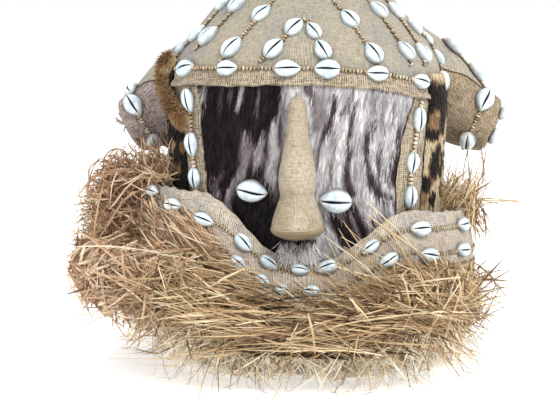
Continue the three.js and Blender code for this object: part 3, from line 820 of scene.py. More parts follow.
# Streaks of the hide, darker or paler than the hair about them: a tone from 0 black to 1 white, and the
# points x, height and half width that each runs through
PALE_SIDE_TONE = 0.84
DARK_SIDE_TONE = 0.1
HIDE_STREAKS = [
    # on the dark left side
    (0.75, [(-84, 248, 2.5), (-83.5, 238, 1.8), (-82, 228, 0.6)]),
    (0.4, [(-69, 247, 2), (-69.5, 236, 1.5), (-70, 226, 0.6)]),
    (0.78, [(-53, 247, 2.4), (-54, 238, 2), (-55, 227, 1)]),
    (0.45, [(-37, 247, 1.2), (-38.5, 233, 1.8), (-38.5, 222, 0.6)]),
    (0.72, [(-17, 247, 1.5), (-18.5, 236, 1.6), (-19.5, 225, 1), (-22, 214, 0.8)]),
    (0.58, [(-48, 208, 3.5), (-47, 197, 6.5), (-49, 186, 4), (-52, 176, 3.5), (-56, 164, 3)]),
    (0.66, [(-33, 209, 3), (-36, 198, 4), (-38, 187, 4), (-40, 182, 2)]),
    (0.8, [(-23, 220, 2.5), (-24, 208, 4), (-24, 195, 5), (-27, 182, 5.5), (-26, 170, 5), (-24, 152, 4),
           (-26, 142, 4.5), (-32, 130, 3.5), (-36, 121, 1.5)]),
    (0.62, [(-54, 178, 2), (-60, 166, 2.6), (-65, 154, 2.6), (-68, 144, 2.4)]),
    (0.66, [(-77, 170, 1.6), (-74, 160, 3), (-73, 150, 3), (-72, 140, 2)]),
    (0.7, [(-65, 160, 1.6), (-64, 150, 2.4), (-61, 138, 2.6), (-58, 128, 1.6)]),
    (0.5, [(-60, 247, 1), (-61, 238, 1)]),
    (0.4, [(-70, 176, 1.6), (-74, 166, 1.8)]),
    (0.55, [(-32, 174, 1.5), (-37, 166, 2)]),
    # on the pale right side
    (0.3, [(26, 240, 1.4), (25.5, 229, 2.6), (22, 218, 2.6), (17.5, 206, 1.5), (14, 195, 0.6),
           (11, 183, 0.4)]),
    (0.4, [(41, 246, 0.8), (37, 236, 1.1), (33, 224, 1)]),
    (0.3, [(45, 237, 0.8), (42, 225, 1.7), (40, 214, 1.6), (38.5, 204, 0.7), (38.5, 192, 1.8),
           (37.5, 179, 2.6), (38, 168, 3.4), (41, 158, 3.4)]),
    (0.36, [(59, 245, 0.7), (58.5, 234, 0.7)]),
    (0.3, [(61, 220, 0.8), (54, 209, 2.2), (51.5, 200, 2.3), (53, 190, 1), (55.5, 175, 2.3), (58, 168, 3.4),
           (64, 158, 3), (76, 153, 1.5)]),
    (0.42, [(76, 244, 0.6), (74.5, 234, 0.6)]),
    (0.3, [(84, 217, 1.2), (80, 204, 2), (77, 193, 2), (77, 183, 3), (77, 172, 3.6), (79, 164, 1.8)]),
    (0.42, [(64, 199, 0.8), (63, 186, 1.7), (62.5, 172, 1.7)]),
    (0.46, [(67, 186, 0.8), (69, 176, 1.6), (71, 168, 1.3)]),
    (0.5, [(27, 204, 0.8), (26, 199, 0.9)]),
    (0.5, [(24, 186, 0.8), (23, 174, 1), (22, 163, 0.8)]),
    (0.45, [(3, 247, 4), (6, 243, 4), (10, 240, 3)]),
    (0.62, [(12, 238, 3), (14, 225, 6), (12, 214, 5)]),
    (0.16, [(35, 150, 3), (40, 143, 6), (46, 133, 6), (50, 124, 5)]),
    (0.14, [(26, 140, 4), (32, 130, 7), (38, 121, 6), (44, 112, 4)]),
    (0.55, [(41, 142, 1.2), (45, 131, 1.4), (48, 121, 1.2)]),
    (0.3, [(59, 134, 2), (61, 126, 2)]),
    # the black tuft under the nose, over a pale one
    (0.06, [(-36, 150, 14), (-34, 140, 14), (-30, 128, 10), (-22, 118, 5)]),
]


def streaks(points, base, streak_list):
    """The tone at each point (x, height), where soft streaks lie over the base tone."""
    tone = base.copy()
    for shade, path in streak_list:
        path = row(*path)
        best = np.full(len(points), -1e9)
        for start, end in zip(path[:-1], path[1:]):
            run = end[:2] - start[:2]
            share = np.clip(((points - start[:2]) @ run) / (run @ run), 0, 1)
            width = lerp(start[2], end[2], share)
            gap = np.linalg.norm(points - (start[:2] + share[:, None] * run), axis=1)
            best = np.maximum(best, (width - gap) / np.maximum(0.6 * width, 1.1))
        tone = lerp(tone, shade, smoothstep(best, -1, 0.8))
    return tone


def strip_noise(x, height, wide, tall):
    """Smooth noise from -1 to 1, wide by tall millimetres."""
    return np.array([noise.noise(Vector((a / wide, b / tall, 0.5))) for a, b in zip(x, height)])


def hide_tone(x, height):
    """The tone of the hide's hair: dark on the left of the nose, pale on its right, with streaks."""
    bent = x + 2.2 * strip_noise(x, height, 8, 14)
    pale = smoothstep(bent, -21, -13)
    base = lerp(DARK_SIDE_TONE, PALE_SIDE_TONE, pale)
    fine = strip_noise(x - 0.15 * height, height, 1.6, 26) + 0.7 * strip_noise(x, height, 4.5, 45)
    base = base + fine * lerp(0.1, 0.2, pale)
    return streaks(np.stack([bent, height], -1), base, HIDE_STREAKS)


def hide_spot(u, v):
    """The x and height at shares across and up the hide."""
    share = 2 * u - 1
    side = np.where(share < 0, -1, 1)
    low = chin_top(angle_at_x(share * 80, 120)) - 9
    high = brow_line(share * face_edge(side, 238)) - BROW_DROP + 1.5
    height = lerp(low, high, v)
    return share * face_edge(side, height), height


def hide_skin(u, v):
    x, height = hide_spot(u, v)
    return helmet_point(angle_at_x(x, height), height, ON_HIDE)


# Painted shade: the skin between the hairs is painted darker than the hair by this much.
SKIN_SHADE_UNDER_HAIR = 0.05  # how much darker the skin between the hairs is

bm = draped(100, 84, hide_skin, (176, 140))
thicken(bm, 2.6)
settle(bm)
hide = show("face_skin", bm, HIDE_HAIR, ["face_hide"])
points = vertex_places(hide.data) / MM
# The hide's skin is a little darker than its hair: painted shade under the hairs.
store_tone(hide.data, hide_tone(points[:, 0], points[:, 2]) - SKIN_SHADE_UNDER_HAIR)

FACE_HAIRS = 7600
CHIN_TUFT_HAIRS = 620
CHEEK_HAIRS = 4200
ROLL_HAIRS = 2600
chance = np.random.default_rng(7)


def hairs(root, normal, down, length, width, tone, lie, segments=3):
    """Tapered hairs that leave their roots at a slant and lie along down, lie being how flat."""
    share = np.linspace(0, 1, segments)[None, :, None]
    curl = chance.normal(0, 0.12, (len(root), 1, 3)) * share**2
    rise = normal[:, None] * (share * (1.0 - 0.55 * share)) * (1 - lie)
    run = down[:, None] * share
    paths = root[:, None] + (run + rise + curl) * length[:, None, None]
    taper = np.linspace(1, 0.18, segments)[None, :]
    width = width[:, None] * taper
    return strands(paths, width, 0.55 * width, normal[:, None], 3, tone.reshape(len(root), -1))


count = FACE_HAIRS
u, v = chance.random(count), 1 - chance.random(count) ** 0.92
x, height = hide_spot(u, np.clip(v * 1.02, 0, 1))
root = helmet_point(angle_at_x(x, height), height, ON_HIDE - 0.3)
normal = helmet_normal(angle_at_x(x, height), height)
sway = np.where(x < -8, -0.1 - 0.25 * smoothstep(-height, -175, -140), -0.24 * smoothstep(height, 165, 205))
sway = sway + np.where(x > 8, 0.4 * smoothstep(-height, -165, -135), 0) + chance.normal(0, 0.09, count)
down = unit(np.stack([sway, np.zeros(count), -np.ones(count)], -1))
down = unit(down - normal * np.sum(down * normal, axis=1)[:, None])
tone = hide_tone(x + sway * 4, height) + chance.normal(0, 0.055, count)
length = chance.uniform(7, 13, count)
length = np.minimum(length, np.maximum(height - chin_top(angle_at_x(x, height)) + 9, 4))
show(
    "face_hair",
    hairs(root, normal, down, length, chance.uniform(0.35, 0.62, count), np.clip(tone, 0, 1), 0.86),
    HIDE_HAIR,
)

# The tuft that hangs over the collar under the nose, black at its roots and white below
count = CHIN_TUFT_HAIRS
x = chance.uniform(-19, 12, count)
height = chance.uniform(106, 119, count)
root = helmet_point(angle_at_x(x, height), height, ON_HIDE + 1)
normal = helmet_normal(angle_at_x(x, height), height)
across = chance.normal(0, 0.25, count) + x * 0.006
down = unit(np.stack([across, np.full(count, -0.9), np.full(count, -0.75)], -1))
pale = chance.random(count) < 0.92 - (height - 113) * 0.05
tone = np.where(pale, 1.0, 0.2)[:, None] + chance.normal(0, 0.05, (count, 1)) + row(-0.35, -0.05, 0.0, 0.1)
show(
    "chin_tuft",
    hairs(root, normal, down, chance.uniform(9, 16, count), chance.uniform(0.4, 0.62, count),
          np.clip(tone, 0, 1), 0.7, 4),
    HIDE_HAIR,
)


# The spotted fur on each cheek: spots as x from the panel's front, height, half sizes and tone

FUR_SPOTS = {
    -1: [(118, 196, 36, 58, 0.07), (113, 262, 14, 26, 0.04), (104, 199, 5, 7, 0.42), (113, 178, 5, 6, 0.4),
         (106, 156, 8, 4, 0.72), (118, 199, 5, 5, 0.66), (122, 150, 7, 9, 0.68), (136, 245, 9, 9, 0.08),
         (138, 215, 10, 8, 0.08), (152, 232, 7, 9, 0.08), (134, 186, 9, 9, 0.08), (150, 200, 7, 8, 0.08),
         (140, 160, 10, 8, 0.08), (136, 216, 4, 4, 0.45), (135, 187, 4, 4, 0.45), (140, 160, 5, 4, 0.45)],
    1: [(110, 254, 6, 4, 0.45), (106, 241, 9, 16, 0.04), (128, 241, 22, 15, 0.04),
        (156, 238, 12, 18, 0.05), (157, 190, 10, 13, 0.06), (113, 212, 9, 9, 0.05),
        (134, 220, 16, 13, 0.05), (112, 221, 6, 8, 0.45), (122, 196, 8, 7, 0.05), (116, 183, 8, 15, 0.05),
        (134, 182, 12, 12, 0.06), (128, 187, 4, 6, 0.45), (105, 167, 7, 8, 0.04), (103, 154, 5, 6, 0.44),
        (114, 152, 6, 8, 0.05), (110, 134, 9, 6, 0.08), (151, 200, 7, 8, 0.07), (154, 240, 6, 8, 0.07),
        (141, 160, 10, 8, 0.07), (141, 160, 5, 4, 0.45)],
}


def cheek_front(side, height):
    clear_of_band = band_edge(side, np.minimum(height, 235)) + SIDE_BAND_SEAM
    clear_of_brow = (BROW_END[side] + 2.5) * smoothstep(height, 200, 218)
    return angle_at_x(np.maximum(clear_of_band, clear_of_brow), height)


def cheek_angle(side, u, height):
    return side * lerp(cheek_front(side, height), angle_at_y(LEOPARD_REAR_Y, height), u)


def fur_tone(side, points):
    """The tone of spotted fur: tan, with soft black spots and brown hearts, placed by how far round the
    helmet from its middle they are, and by height."""
    round_far = np.abs(points[:, 0]) + np.maximum(points[:, 1] + 75, 0)
    round_far = round_far + 2.5 * strip_noise(points[:, 0] + points[:, 1], points[:, 2], 7, 7)
    height = points[:, 2] + 2.5 * strip_noise(points[:, 2] + 40, points[:, 0] - points[:, 1], 6, 8)
    tone = 0.76 + 0.09 * strip_noise(round_far, height, 3, 12)
    for far, z, half_far, half_z, shade in FUR_SPOTS[side]:
        gap = np.hypot((round_far - far) / half_far, (height - z) / half_z)
        tone = lerp(tone, shade, 1 - smoothstep(gap, 0.8, 1.15))
    return tone


for name, side in (("left", -1), ("right", 1)):

    def cheek_skin(u, v, side=side):
        height = lerp(LEOPARD_BOTTOM, LEOPARD_TOP[side], v)
        return helmet_point(cheek_angle(side, u, height), height, ON_HIDE)

    bm = draped(24, 60, cheek_skin, (60, 140))
    if side < 0:
        bmesh.ops.reverse_faces(bm, faces=bm.faces)
    thicken(bm, 2.6)
    settle(bm)
    cheek = show(f"cheek_skin_{name}", bm, SPOTTED_FUR, [f"leopard_cheek_{name}"])
    # The cheek's skin is a little darker than its fur: painted shade under the hairs.
    store_tone(cheek.data, fur_tone(side, vertex_places(cheek.data) / MM) - SKIN_SHADE_UNDER_HAIR)

    count = CHEEK_HAIRS
    u, height = chance.random(count), chance.uniform(LEOPARD_BOTTOM, LEOPARD_TOP[side], count)
    edge = chance.random(count) < 0.22
    u = np.where(edge, chance.uniform(-0.04, 0.1, count), u)
    angle = cheek_angle(side, u, height)
    root = helmet_point(angle, height, ON_HIDE - 0.4)
    normal = helmet_normal(angle, height)
    down = unit(np.stack([-side * (0.25 + 0.5 * edge), np.full(count, -0.2), -np.ones(count)], -1)
                + chance.normal(0, 0.16, (count, 3)))
    down = unit(down - normal * np.sum(down * normal, axis=1)[:, None] * 0.9)
    length = chance.uniform(3.5, 7.5, count)
    tone = fur_tone(side, root)[:, None] + chance.normal(0, 0.05, (count, 1)) + row(0, 0.03, 0.16)
    share = np.linspace(0, 1, 3)[None, :, None]
    paths = root[:, None] + (down[:, None] * share + normal[:, None] * 0.35 * share) * length[:, None, None]
    width = chance.uniform(0.35, 0.6, (count, 1)) * row(1, 0.8, 0.2)
    show(
        f"cheek_fur_{name}",
        strands(paths, width, 0.6 * width, normal[:, None], 3, np.clip(tone, 0, 1)),
        SPOTTED_FUR,
    )


# The rolled edge of the left cheek's fur: a fat soft roll of brown hair, paler at its tips and its sides
ROLL_LINE = [(-120.5, -64, 276.5), (-125, -62, 270), (-127, -61, 262), (-126, -65, 252), (-122.5, -76, 243),
             (-117.5, -88, 235.5), (-112, -99, 228.5), (-106.5, -107.5, 222), (-103, -112, 217.5)]
ROLL_RADIUS = 4.5
line = row(*ROLL_LINE)
roll_steps = np.linspace(0, len(line) - 1, 40)
roll = line_at(roll_steps, range(len(line)), line)
for _ in range(3):
    roll[1:-1] = (roll[:-2] + roll[1:-1] + roll[2:]) / 3
roll_ahead = unit(np.gradient(roll, axis=0))
roll_out = unit(roll * row(1, 1, 0))
roll_fat = ROLL_RADIUS * np.interp(roll_steps / roll_steps[-1], [0, 0.06, 0.94, 1], [0.35, 1, 1, 0.35])
roll_tone = 0.34 + 0.2 * strip_noise(roll_steps * 9, 0 * roll_steps, 9, 9)
show("cheek_roll", strands(roll[None], roll_fat[None], roll_fat[None], roll_out[None], 12, roll_tone[None]),
     ROLLED_FUR)
count = ROLL_HAIRS
at = chance.uniform(0, len(roll) - 1, count)
root, ahead, out = (line_at(at, range(len(roll)), part) for part in (roll, roll_ahead, roll_out))
turn = chance.uniform(-2.2, 2.2, count)
away = unit(out * np.cos(turn)[:, None] + np.cross(out, ahead) * np.sin(turn)[:, None])
root = root + away * 0.85 * np.interp(at, range(len(roll)), roll_fat)[:, None]
to_end = (2 * at / (len(roll) - 1) - 1)[:, None] ** 7
way = unit(away * 0.7 + ahead * (0.2 + 1.2 * to_end) + row(0, 0, -0.25) + chance.normal(0, 0.3, (count, 3)))
share = np.linspace(0, 1, 3)[None, :, None]
length = chance.uniform(3, 7.5, (count, 1, 1))
paths = root[:, None] + (way[:, None] * share + row(0, 0, -0.2) * share**2) * length
width = chance.uniform(0.4, 0.75, (count, 1)) * row(1, 0.85, 0.2)
tone = 0.4 + 0.24 * strip_noise(at * 1.4, turn * 3.5, 5, 5) + 0.2 * smoothstep(np.abs(turn), 0.8, 1.7)
tone = (tone + chance.normal(0, 0.05, count))[:, None] + row(-0.08, 0.0, 0.2)
show("cheek_roll_hair", strands(paths, width, 0.6 * width, away[:, None], 3, np.clip(tone, 0, 1)), ROLLED_FUR)


# The nose: a wooden wedge under tight cloth, bound with darker thread at its foot

def nose_skin(u, v, lift=0.0):
    above = v * (NOSE_TOP - NOSE_BOTTOM)
    half_width, reach = nose_station(above)
    half_width = half_width + 1.2 * np.exp(-(((above - 36) / 4) ** 2))
    domed = np.sqrt(np.clip(1 - (np.maximum(above - 112, 0) / 9) ** 2, 0.02, 1))
    rounded = np.sqrt(np.clip(1 - (np.maximum(4 - above, 0) / 6) ** 2, 0, 1))
    half_width, reach = half_width * domed * rounded, reach * domed * rounded
    turn = 2 * np.pi * u
    height = NOSE_BOTTOM + above
    foot = helmet_flat(0 * height, height)[..., 1] - NOSE_BASE
    out = np.maximum(np.cos(turn), 0) ** 0.8
    folds = 0.4 * np.sin(height * 1.1 + 2 * np.sin(turn * 2)) * np.exp(-(((above - 35) / 7) ** 2)) * out
    fat = 1 + (folds + lift) / 18
    return np.stack(
        [NOSE_X + np.sin(turn) * half_width * fat, foot - reach * out * fat - 0.01 * np.cos(turn), height], -1
    )


bm = draped(72, 110, nose_skin, (95, 135))
bmesh.ops.remove_doubles(bm, verts=bm.verts, dist=0.00001)
bmesh.ops.holes_fill(bm, edges=[edge for edge in bm.edges if edge.is_boundary], sides=0)
settle(bm)
show("nose_skin", bm, NOSE_CLOTH, ["nose"])

# Threads wound round the foot of the nose
turns = np.linspace(-0.25, 0.25, 30)
paths = []
for above in row(0.4, 1.9, 3.4, 4.9, 6.4, 7.9, 9.4):
    paths.append(nose_skin(turns, (above + 0.5 * np.sin(turns * 9)) / (NOSE_TOP - NOSE_BOTTOM), 0.35))
paths = np.array(paths)
foot_tone = np.linspace(0.3, 0.62, len(paths))[:, None]
over = unit(paths - (paths.mean(axis=1, keepdims=True) + row(0, 14, 6)))
show("nose_threads", strands(paths, 0.62, 0.55, over, 6, foot_tone), STITCH_FIBRE)

# The collar under the chin: three strips of cloth sewn edge to edge

UPPER_SEAM = ([-87, -60.5, -44.7, -29.8, -16.4, -8.5, 0, 19.7, 38.3, 64.7, 87],
              [0.22, 0.16, 0.3, 0.46, 0.34, 0.3, 0.2, 0.27, 0.34, 0.25, 0.25])
LOWER_SEAM = ([-87, -46, -17.3, 0, 25, 40.9, 60.5, 87], [0.7, 0.64, 0.76, 0.66, 0.68, 0.76, 0.67, 0.7])


def collar_skin(u, v):
    angle = (2 * u - 1) * CHIN_HALF_ARC
    degrees = np.degrees(angle)
    down = 1 - v
    seam = 0
    for line, deep in ((UPPER_SEAM, 0.9), (LOWER_SEAM, 0.7)):
        seam = seam - deep * np.exp(-(((down - np.interp(degrees, *line)) / 0.03) ** 2))
    frayed = 0.012 * np.sin(angle * 61) + 0.012 * np.sin(angle * 23)
    wave = 0.9 * ripple(helmet_flat(angle, chin_top(angle)) * 0.7)
    return chin_point(angle, down + frayed * (np.abs(v - 0.5) > 0.49), 2 + seam + wave)


COLLAR_CLOTH_SIZE = (390, 50)

# Each strip of the collar, seam by seam: the worn one on top and below, the ribbed one between
bm = draped(200, 44, collar_skin, COLLAR_CLOTH_SIZE)
chart = bm.loops.layers.uv["cloth"]
for face in bm.faces:
    place = sum((loop[chart].uv for loop in face.loops), Vector((0, 0))) / len(face.loops)
    degrees = (place.x / (COLLAR_CLOTH_SIZE[0] * MM) * 2 - 1) * math.degrees(CHIN_HALF_ARC)
    down = 1 - place.y / (COLLAR_CLOTH_SIZE[1] * MM)
    face.material_index = int(np.interp(degrees, *UPPER_SEAM) < down < np.interp(degrees, *LOWER_SEAM))
thicken(bm, 1.8)
settle(bm)
collar = show("collar", bm, [COLLAR_CLOTH, COLLAR_RIBBED], ["chin_band"])


# Cowrie shells

SHELL_FOOT = 0.05
EGG = 0.2
SHELL_WIDTH = 0.72
SHELL_HEIGHT = 0.33


def cowrie(slit_side, fullness):
    """One shell a unit long, narrow end along +X and flat foot down, with a toothed groove along its top."""
    bm = bmesh.new()
    chart = bm.loops.layers.uv.new("shell")
    lengthwise, crosswise = 22, 16
    bmesh.ops.create_grid(bm, x_segments=lengthwise, y_segments=crosswise, size=1, calc_uvs=True)
    for face in bm.faces:
        for loop in face.loops:
            x, y = loop.vert.co.x, loop.vert.co.y
            loop[chart].uv = (math.sin(x * math.pi / 2), math.copysign(abs(y) ** 1.6, y))
    for vert in bm.verts:
        cell = round((vert.co.x + 1) / 2 * lengthwise)
        x, y = math.sin(vert.co.x * math.pi / 2), math.copysign(abs(vert.co.y) ** 1.6, vert.co.y)
        egg = 1 - EGG * x
        half = 0.5 * SHELL_WIDTH * egg * max(1 - abs(x) ** 1.75, 0) ** 0.6 * (1 + 0.03 * math.sin(5 * x + y))
        swerve = slit_side * (0.03 * math.sin(1.8 * x) + 0.015) * (1 - abs(y)) * math.sqrt(max(1 - x * x, 0))
        dome = max(1 - abs(y) ** 2.4, 0) ** 0.5 * max(1 - x * x, 0) ** 0.4
        lip = 0.3 * math.exp(-((y / 0.13) ** 2))
        tooth = 0.07 * (cell % 2) * math.exp(-(((abs(y) - 0.11) / 0.06) ** 2))
        groove = 0.42 * math.exp(-((y / 0.045) ** 2))
        height = SHELL_HEIGHT * egg * fullness * dome * (1.06 - lip * 0.5 - tooth - groove)
        vert.co = (0.5 * x, half * y + swerve, height)
    bmesh.ops.remove_doubles(bm, verts=bm.verts, dist=0.0005)
    rim = [edge for edge in bm.edges if edge.is_boundary]
    under = bmesh.ops.extrude_edge_only(bm, edges=rim)["geom"]
    low = [part for part in under if isinstance(part, bmesh.types.BMVert)]
    bmesh.ops.scale(bm, verts=low, vec=(0.93, 0.9, 1))
    bmesh.ops.translate(bm, verts=low, vec=(0, 0, -SHELL_FOOT))
    bmesh.ops.contextual_create(bm, geom=[part for part in under if isinstance(part, bmesh.types.BMEdge)])
    bmesh.ops.recalc_face_normals(bm, faces=bm.faces)
    mesh = bpy.data.meshes.new("cowrie")
    bm.to_mesh(mesh)
    bm.free()
    return mesh


SHELL_KINDS = [cowrie(side, full) for side, full in ((1, 1), (-1, 0.96), (0.4, 1.05), (-0.5, 0.92))]
sewn = []  # the middle of each shell and half its length


def lay_shell(bm, kind, middle, lengthwise, normal, length, width):
    """Adds a shell to a bmesh, its foot's middle line at middle."""
    before = len(bm.verts)
    bm.from_mesh(SHELL_KINDS[kind % len(SHELL_KINDS)])
    bm.verts.ensure_lookup_table()
    crosswise = np.cross(normal, lengthwise)
    for vert in bm.verts[before:]:
        x, y, z = vert.co
        vert.co = Vector((middle + length * (lengthwise * x + crosswise * (y * width) + normal * z)) * MM)
    sewn.append((middle, length / 2))


def shell_pose(node):
    """Where a CAD shell sits: the middle of its foot, its lengthwise direction and normal, and its length."""
    points = np.unique(vertex_places(node.data).round(7), axis=0) / MM
    middle = points.mean(axis=0)
    normal, _, lengthwise = np.linalg.eigh(np.cov((points - middle).T))[1].T
    spread = points - middle
    if np.sum((spread @ normal) ** 3) < 0:
        normal = -normal
    along = spread @ lengthwise
    across = np.abs(spread @ np.cross(normal, lengthwise))
    if across[along > 0].sum() / (along > 0).sum() > across[along < 0].sum() / (along < 0).sum():
        lengthwise, along = -lengthwise, -along
    across = spread @ np.cross(normal, lengthwise)
    length = along.max() - along.min()
    foot = (spread @ normal).min() + SHELL_FOOT * length
    middle = middle + lengthwise * (along.max() + along.min()) / 2 + normal * foot
    middle = middle + np.cross(normal, lengthwise) * (across.max() + across.min()) / 2
    return middle, lengthwise, normal, length


def faced_level(middle, lengthwise, normal, share=0.3):
    """Rolls a shell on the sloping hood to face more level, its lower side pressed into the cloth."""
    turned = unit(normal * row(1, 1, share))
    turned = unit(turned - lengthwise * (turned @ lengthwise))
    return middle - turned * 1.2, lengthwise, turned


def faced_front(middle, lengthwise, normal):
    turned = unit(normal * row(0.35, 1, 1))
    turned = unit(turned - lengthwise * (turned @ lengthwise))
    return middle - turned * 0.8, lengthwise, turned


def steeper(lengthwise, normal, degrees):
    """Turns a shell on its foot, its narrow end nearer to straight up or down."""
    crosswise = np.cross(normal, lengthwise)
    turn = math.radians(degrees) * np.sign(lengthwise[2] * crosswise[2])
    return unit(lengthwise * math.cos(turn) + crosswise * math.sin(turn))


# Each kind of sewn shell against its solid: its length and width, the degrees it is turned steeper, and
# the share of its normal's rise that it keeps
SHELL_FIT = {"hood": (1.07, 1.01, 11, 0.3), "brow": (1.03, 1.04, 0, 0.6), "side": (1.04, 0.88, 0, 1.0),
             "ear": (1.14, 1.04, 0, 1.0), "eye": (1.0, 1.08, 0, 1.0), "chin": (1.0, 0.95, 0, 1.0)}

for i, name in enumerate(sorted(n for n in cad if "cowrie" in n)):
    middle, lengthwise, normal, length = shell_pose(cad[name])
    long, wide, turn, level = SHELL_FIT[name.split("_")[0]]
    if turn:
        lengthwise = steeper(lengthwise, normal, turn)
    if level < 1:
        middle, lengthwise, normal = faced_level(middle, lengthwise, normal, level)
    if name.startswith("side") or name in ("brow_cowrie_1", "brow_cowrie_7"):
        # These are on the turn of the helmet and look to its front
        middle, lengthwise, normal = faced_front(middle, lengthwise, normal)
    if name == "brow_cowrie_7":
        # The last on the right sits further in and lies more level
        middle, lengthwise = middle + row(-3.2, -1, 0.5), unit(lengthwise * row(1, 1, 0.2))
    bm = bmesh.new()
    lay_shell(bm, i, middle, lengthwise, normal, length * long, wide + 0.07 * math.sin(i * 2.4))
    show(f"shell_{name.replace('cowrie_', '').replace('_cowrie', '')}", bm, COWRIE, [name])


def on_mask(start, inwards):
    """The nearest point and normal where a ray meets the hood or an ear."""
    hits = []
    for tree in (hood_tree, EARS["left"]["tree"], EARS["right"]["tree"]):
        place, normal, _, distance = tree.ray_cast(Vector(start) * MM, Vector(inwards))
        if place is not None:
            hits.append((distance, row(*place) / MM, row(*normal)))
    return min(hits, key=lambda hit: hit[0])[1:]


def hood_spot(degrees, height):
    """The point and normal of the hood, or of the ear over it, at an angle and height."""
    angle = math.radians(degrees)
    normal = helmet_normal(angle, height)
    return on_mask(helmet_flat(angle, height) + 60 * normal, -normal)


def trunk_spot(degrees, share):
    """The point and normal of the trunk at an angle, 0 at its front, and a share of its length."""
    inner, outer = (trunk_point(math.radians(degrees), share, radius) for radius in (0, 70))
    return on_mask(outer, unit(inner - outer))


def sew_group(name, spots, level=False):
    """Sews shells in one piece. A spot is a point, a normal, the narrow end's direction and a length."""
    bm = bmesh.new()
    for i, (point, normal, towards, length) in enumerate(spots):
        lengthwise = unit(towards - normal * (towards @ normal))
        middle = point + normal * (0.6 + SHELL_FOOT * length)
        if level:
            lengthwise = steeper(lengthwise, normal, 8)
            middle, lengthwise, normal = faced_level(middle, lengthwise, normal)
        lay_shell(bm, i, middle, lengthwise, normal, length, 0.97 + 0.07 * math.sin(i * 2.9))
    return show(name, bm, COWRIE)


def leaning(tilt):
    return row(math.cos(math.radians(tilt)), 0, math.sin(math.radians(tilt)))


# Shells high on the hood, past the solid ones: degrees, height, tilt of the narrow end, length
UPPER_SHELLS = [
    (-41.2, 319.3, 48, 21), (-21.1, 310.2, 52, 21), (-46.1, 290.8, 53, 22), (-60.9, 294.4, 55, 20),
    (-70, 283, 50, 18), (20.8, 305.1, 131, 21), (42.2, 313.6, 130, 21), (58.6, 313.9, 120, 21),
    (42.7, 277.7, 123, 21), (55.6, 276.4, 121, 21), (78, 273.5, 95, 17), (81, 291, 170, 16),
    (68, 300, 140, 18),
    (-14, 339, 50, 20), (13, 337, 130, 20), (-36, 346, 45, 20), (37, 343, 133, 20), (-26, 368, 50, 19),
    (27, 366, 130, 19), (-58, 322, 52, 20), (-57, 350, 60, 20), (57, 345, 120, 20),
]
spots = []
for degrees, height, tilt, length in UPPER_SHELLS:
    point, normal = hood_spot(degrees, height)
    spots.append((point, normal, leaning(tilt), length))
sew_group("crown_shells", spots, True)

# Two shells on the end of the right ear
ear = EARS["right"]
spots = []
for degrees in (-36, -118):
    mirror = row(ear["side"], 1, 1)
    outward = ear_axes(ear)[0] * mirror
    rim = ear_point(ear, 1.7, math.radians(degrees), -9)
    place, normal, _, _ = ear["tree"].ray_cast(Vector(rim + outward * 40) * MM, Vector(-outward))
    ahead = ear_point(ear, 1.7, math.radians(degrees + 20), -9)
    spots.append((row(*place) / MM, row(*normal), ahead - rim, 17))
sew_group("ear_end_shells", spots)

# Plainer rows where the mask isn't seen: round the back, up its middle, and along the trunk
spots = []
for degrees in range(118, 243, 15):
    point, normal = hood_spot(degrees, 256)
    spots.append((point, normal, np.cross(row(0, 0, 1), normal) * (1 if degrees < 180 else -1), 20))
for height in (286, 316, 346, 376):
    point, normal = hood_spot(180, height)
    spots.append((point, normal, row(0, 0, 1), 20))
sew_group("back_shells", spots)

spots = []
for degrees, count, first, step, shrink in ((-62, 6, 0.06, 0.16, 0.7), (62, 6, 0.06, 0.16, 0.7),
                                            (180, 5, 0.1, 0.18, 0.6)):
    for i in range(count):
        share = first + step * i
        point, normal = trunk_spot(degrees, share)
        ahead, _ = trunk_spot(degrees, share + 0.03)
        spots.append((point, normal, ahead - point, 19 - shrink * i))
sew_group("trunk_shells", spots)


# Stitched lines: dark couched cords under pale stitches, between the shells

def resampled(points, normals, spacing):
    """Points and normals at an even spacing along a line."""
    points, normals = np.array(points), np.array(normals)
    steps = np.concatenate([[0], np.cumsum(np.linalg.norm(np.diff(points, axis=0), axis=1))])
    at = np.arange(spacing / 2, steps[-1], spacing)
    return line_at(at, steps, points), unit(line_at(at, steps, normals))


SHELL_HIDES = 0.8  # the share of a shell's half length within which no stitch shows


def clear_of_shells(points):
    free = np.ones(len(points), bool)
    for middle, half in sewn:
        free &= np.linalg.norm(points - middle, axis=1) > half * SHELL_HIDES
    return free


stitch_parts = {"paths": [], "over": [], "width": [], "tone": []}
cord_parts = []


def stitch_line(points, normals, lift=0.3, spacing=3.1, reach=2.3, lean=0.45, thick=0.95, cord=0.8,
                tone=0.68):
    """Stitches across a line of points. lean tips them along the line, one way and the other in turn."""
    place, facing = resampled(points, normals, spacing)
    if len(place) < 2:
        return
    forward = unit(np.gradient(place, axis=0))
    side = unit(np.cross(facing, forward))
    free = clear_of_shells(place)
    sign = np.where(np.arange(len(place)) % 2, 1.0, -1.0)[:, None]
    jitter = chance.normal(0, 0.2, (len(place), 1))
    reaches = reach * chance.uniform(0.75, 1.2, (len(place), 1))
    across = unit(side + forward * (lean * sign + jitter)) * reaches
    share = np.linspace(-1, 1, 5)[None, :, None]
    arch = lift + (cord + thick) * (1 - share**2)
    paths = place[:, None] + across[:, None] * share + facing[:, None] * arch
    paths = paths + side[:, None] * chance.normal(0, 0.2, (len(place), 1, 1))
    stitch_parts["paths"].append(paths[free])
    stitch_parts["over"].append(np.repeat(facing[free][:, None], 5, axis=1))
    stitch_parts["width"].append(np.full(free.sum(), thick) * chance.uniform(0.85, 1.15, free.sum()))
    stitch_parts["tone"].append(chance.normal(tone, 0.1, free.sum()))
    if cord:
        cord_parts.append((*resampled(points, normals, 2.0), cord, lift))


def along(spot, places):
    """Points and normals of spot(*place) along a line through places, in small steps."""
    places = row(*places)
    made = []
    for start, end in zip(places[:-1], places[1:]):
        made += [spot(*lerp(start, end, t)) for t in np.arange(0, 1, 0.1)]
    made.append(spot(*places[-1]))
    return [point for point, _ in made], [normal for _, normal in made]


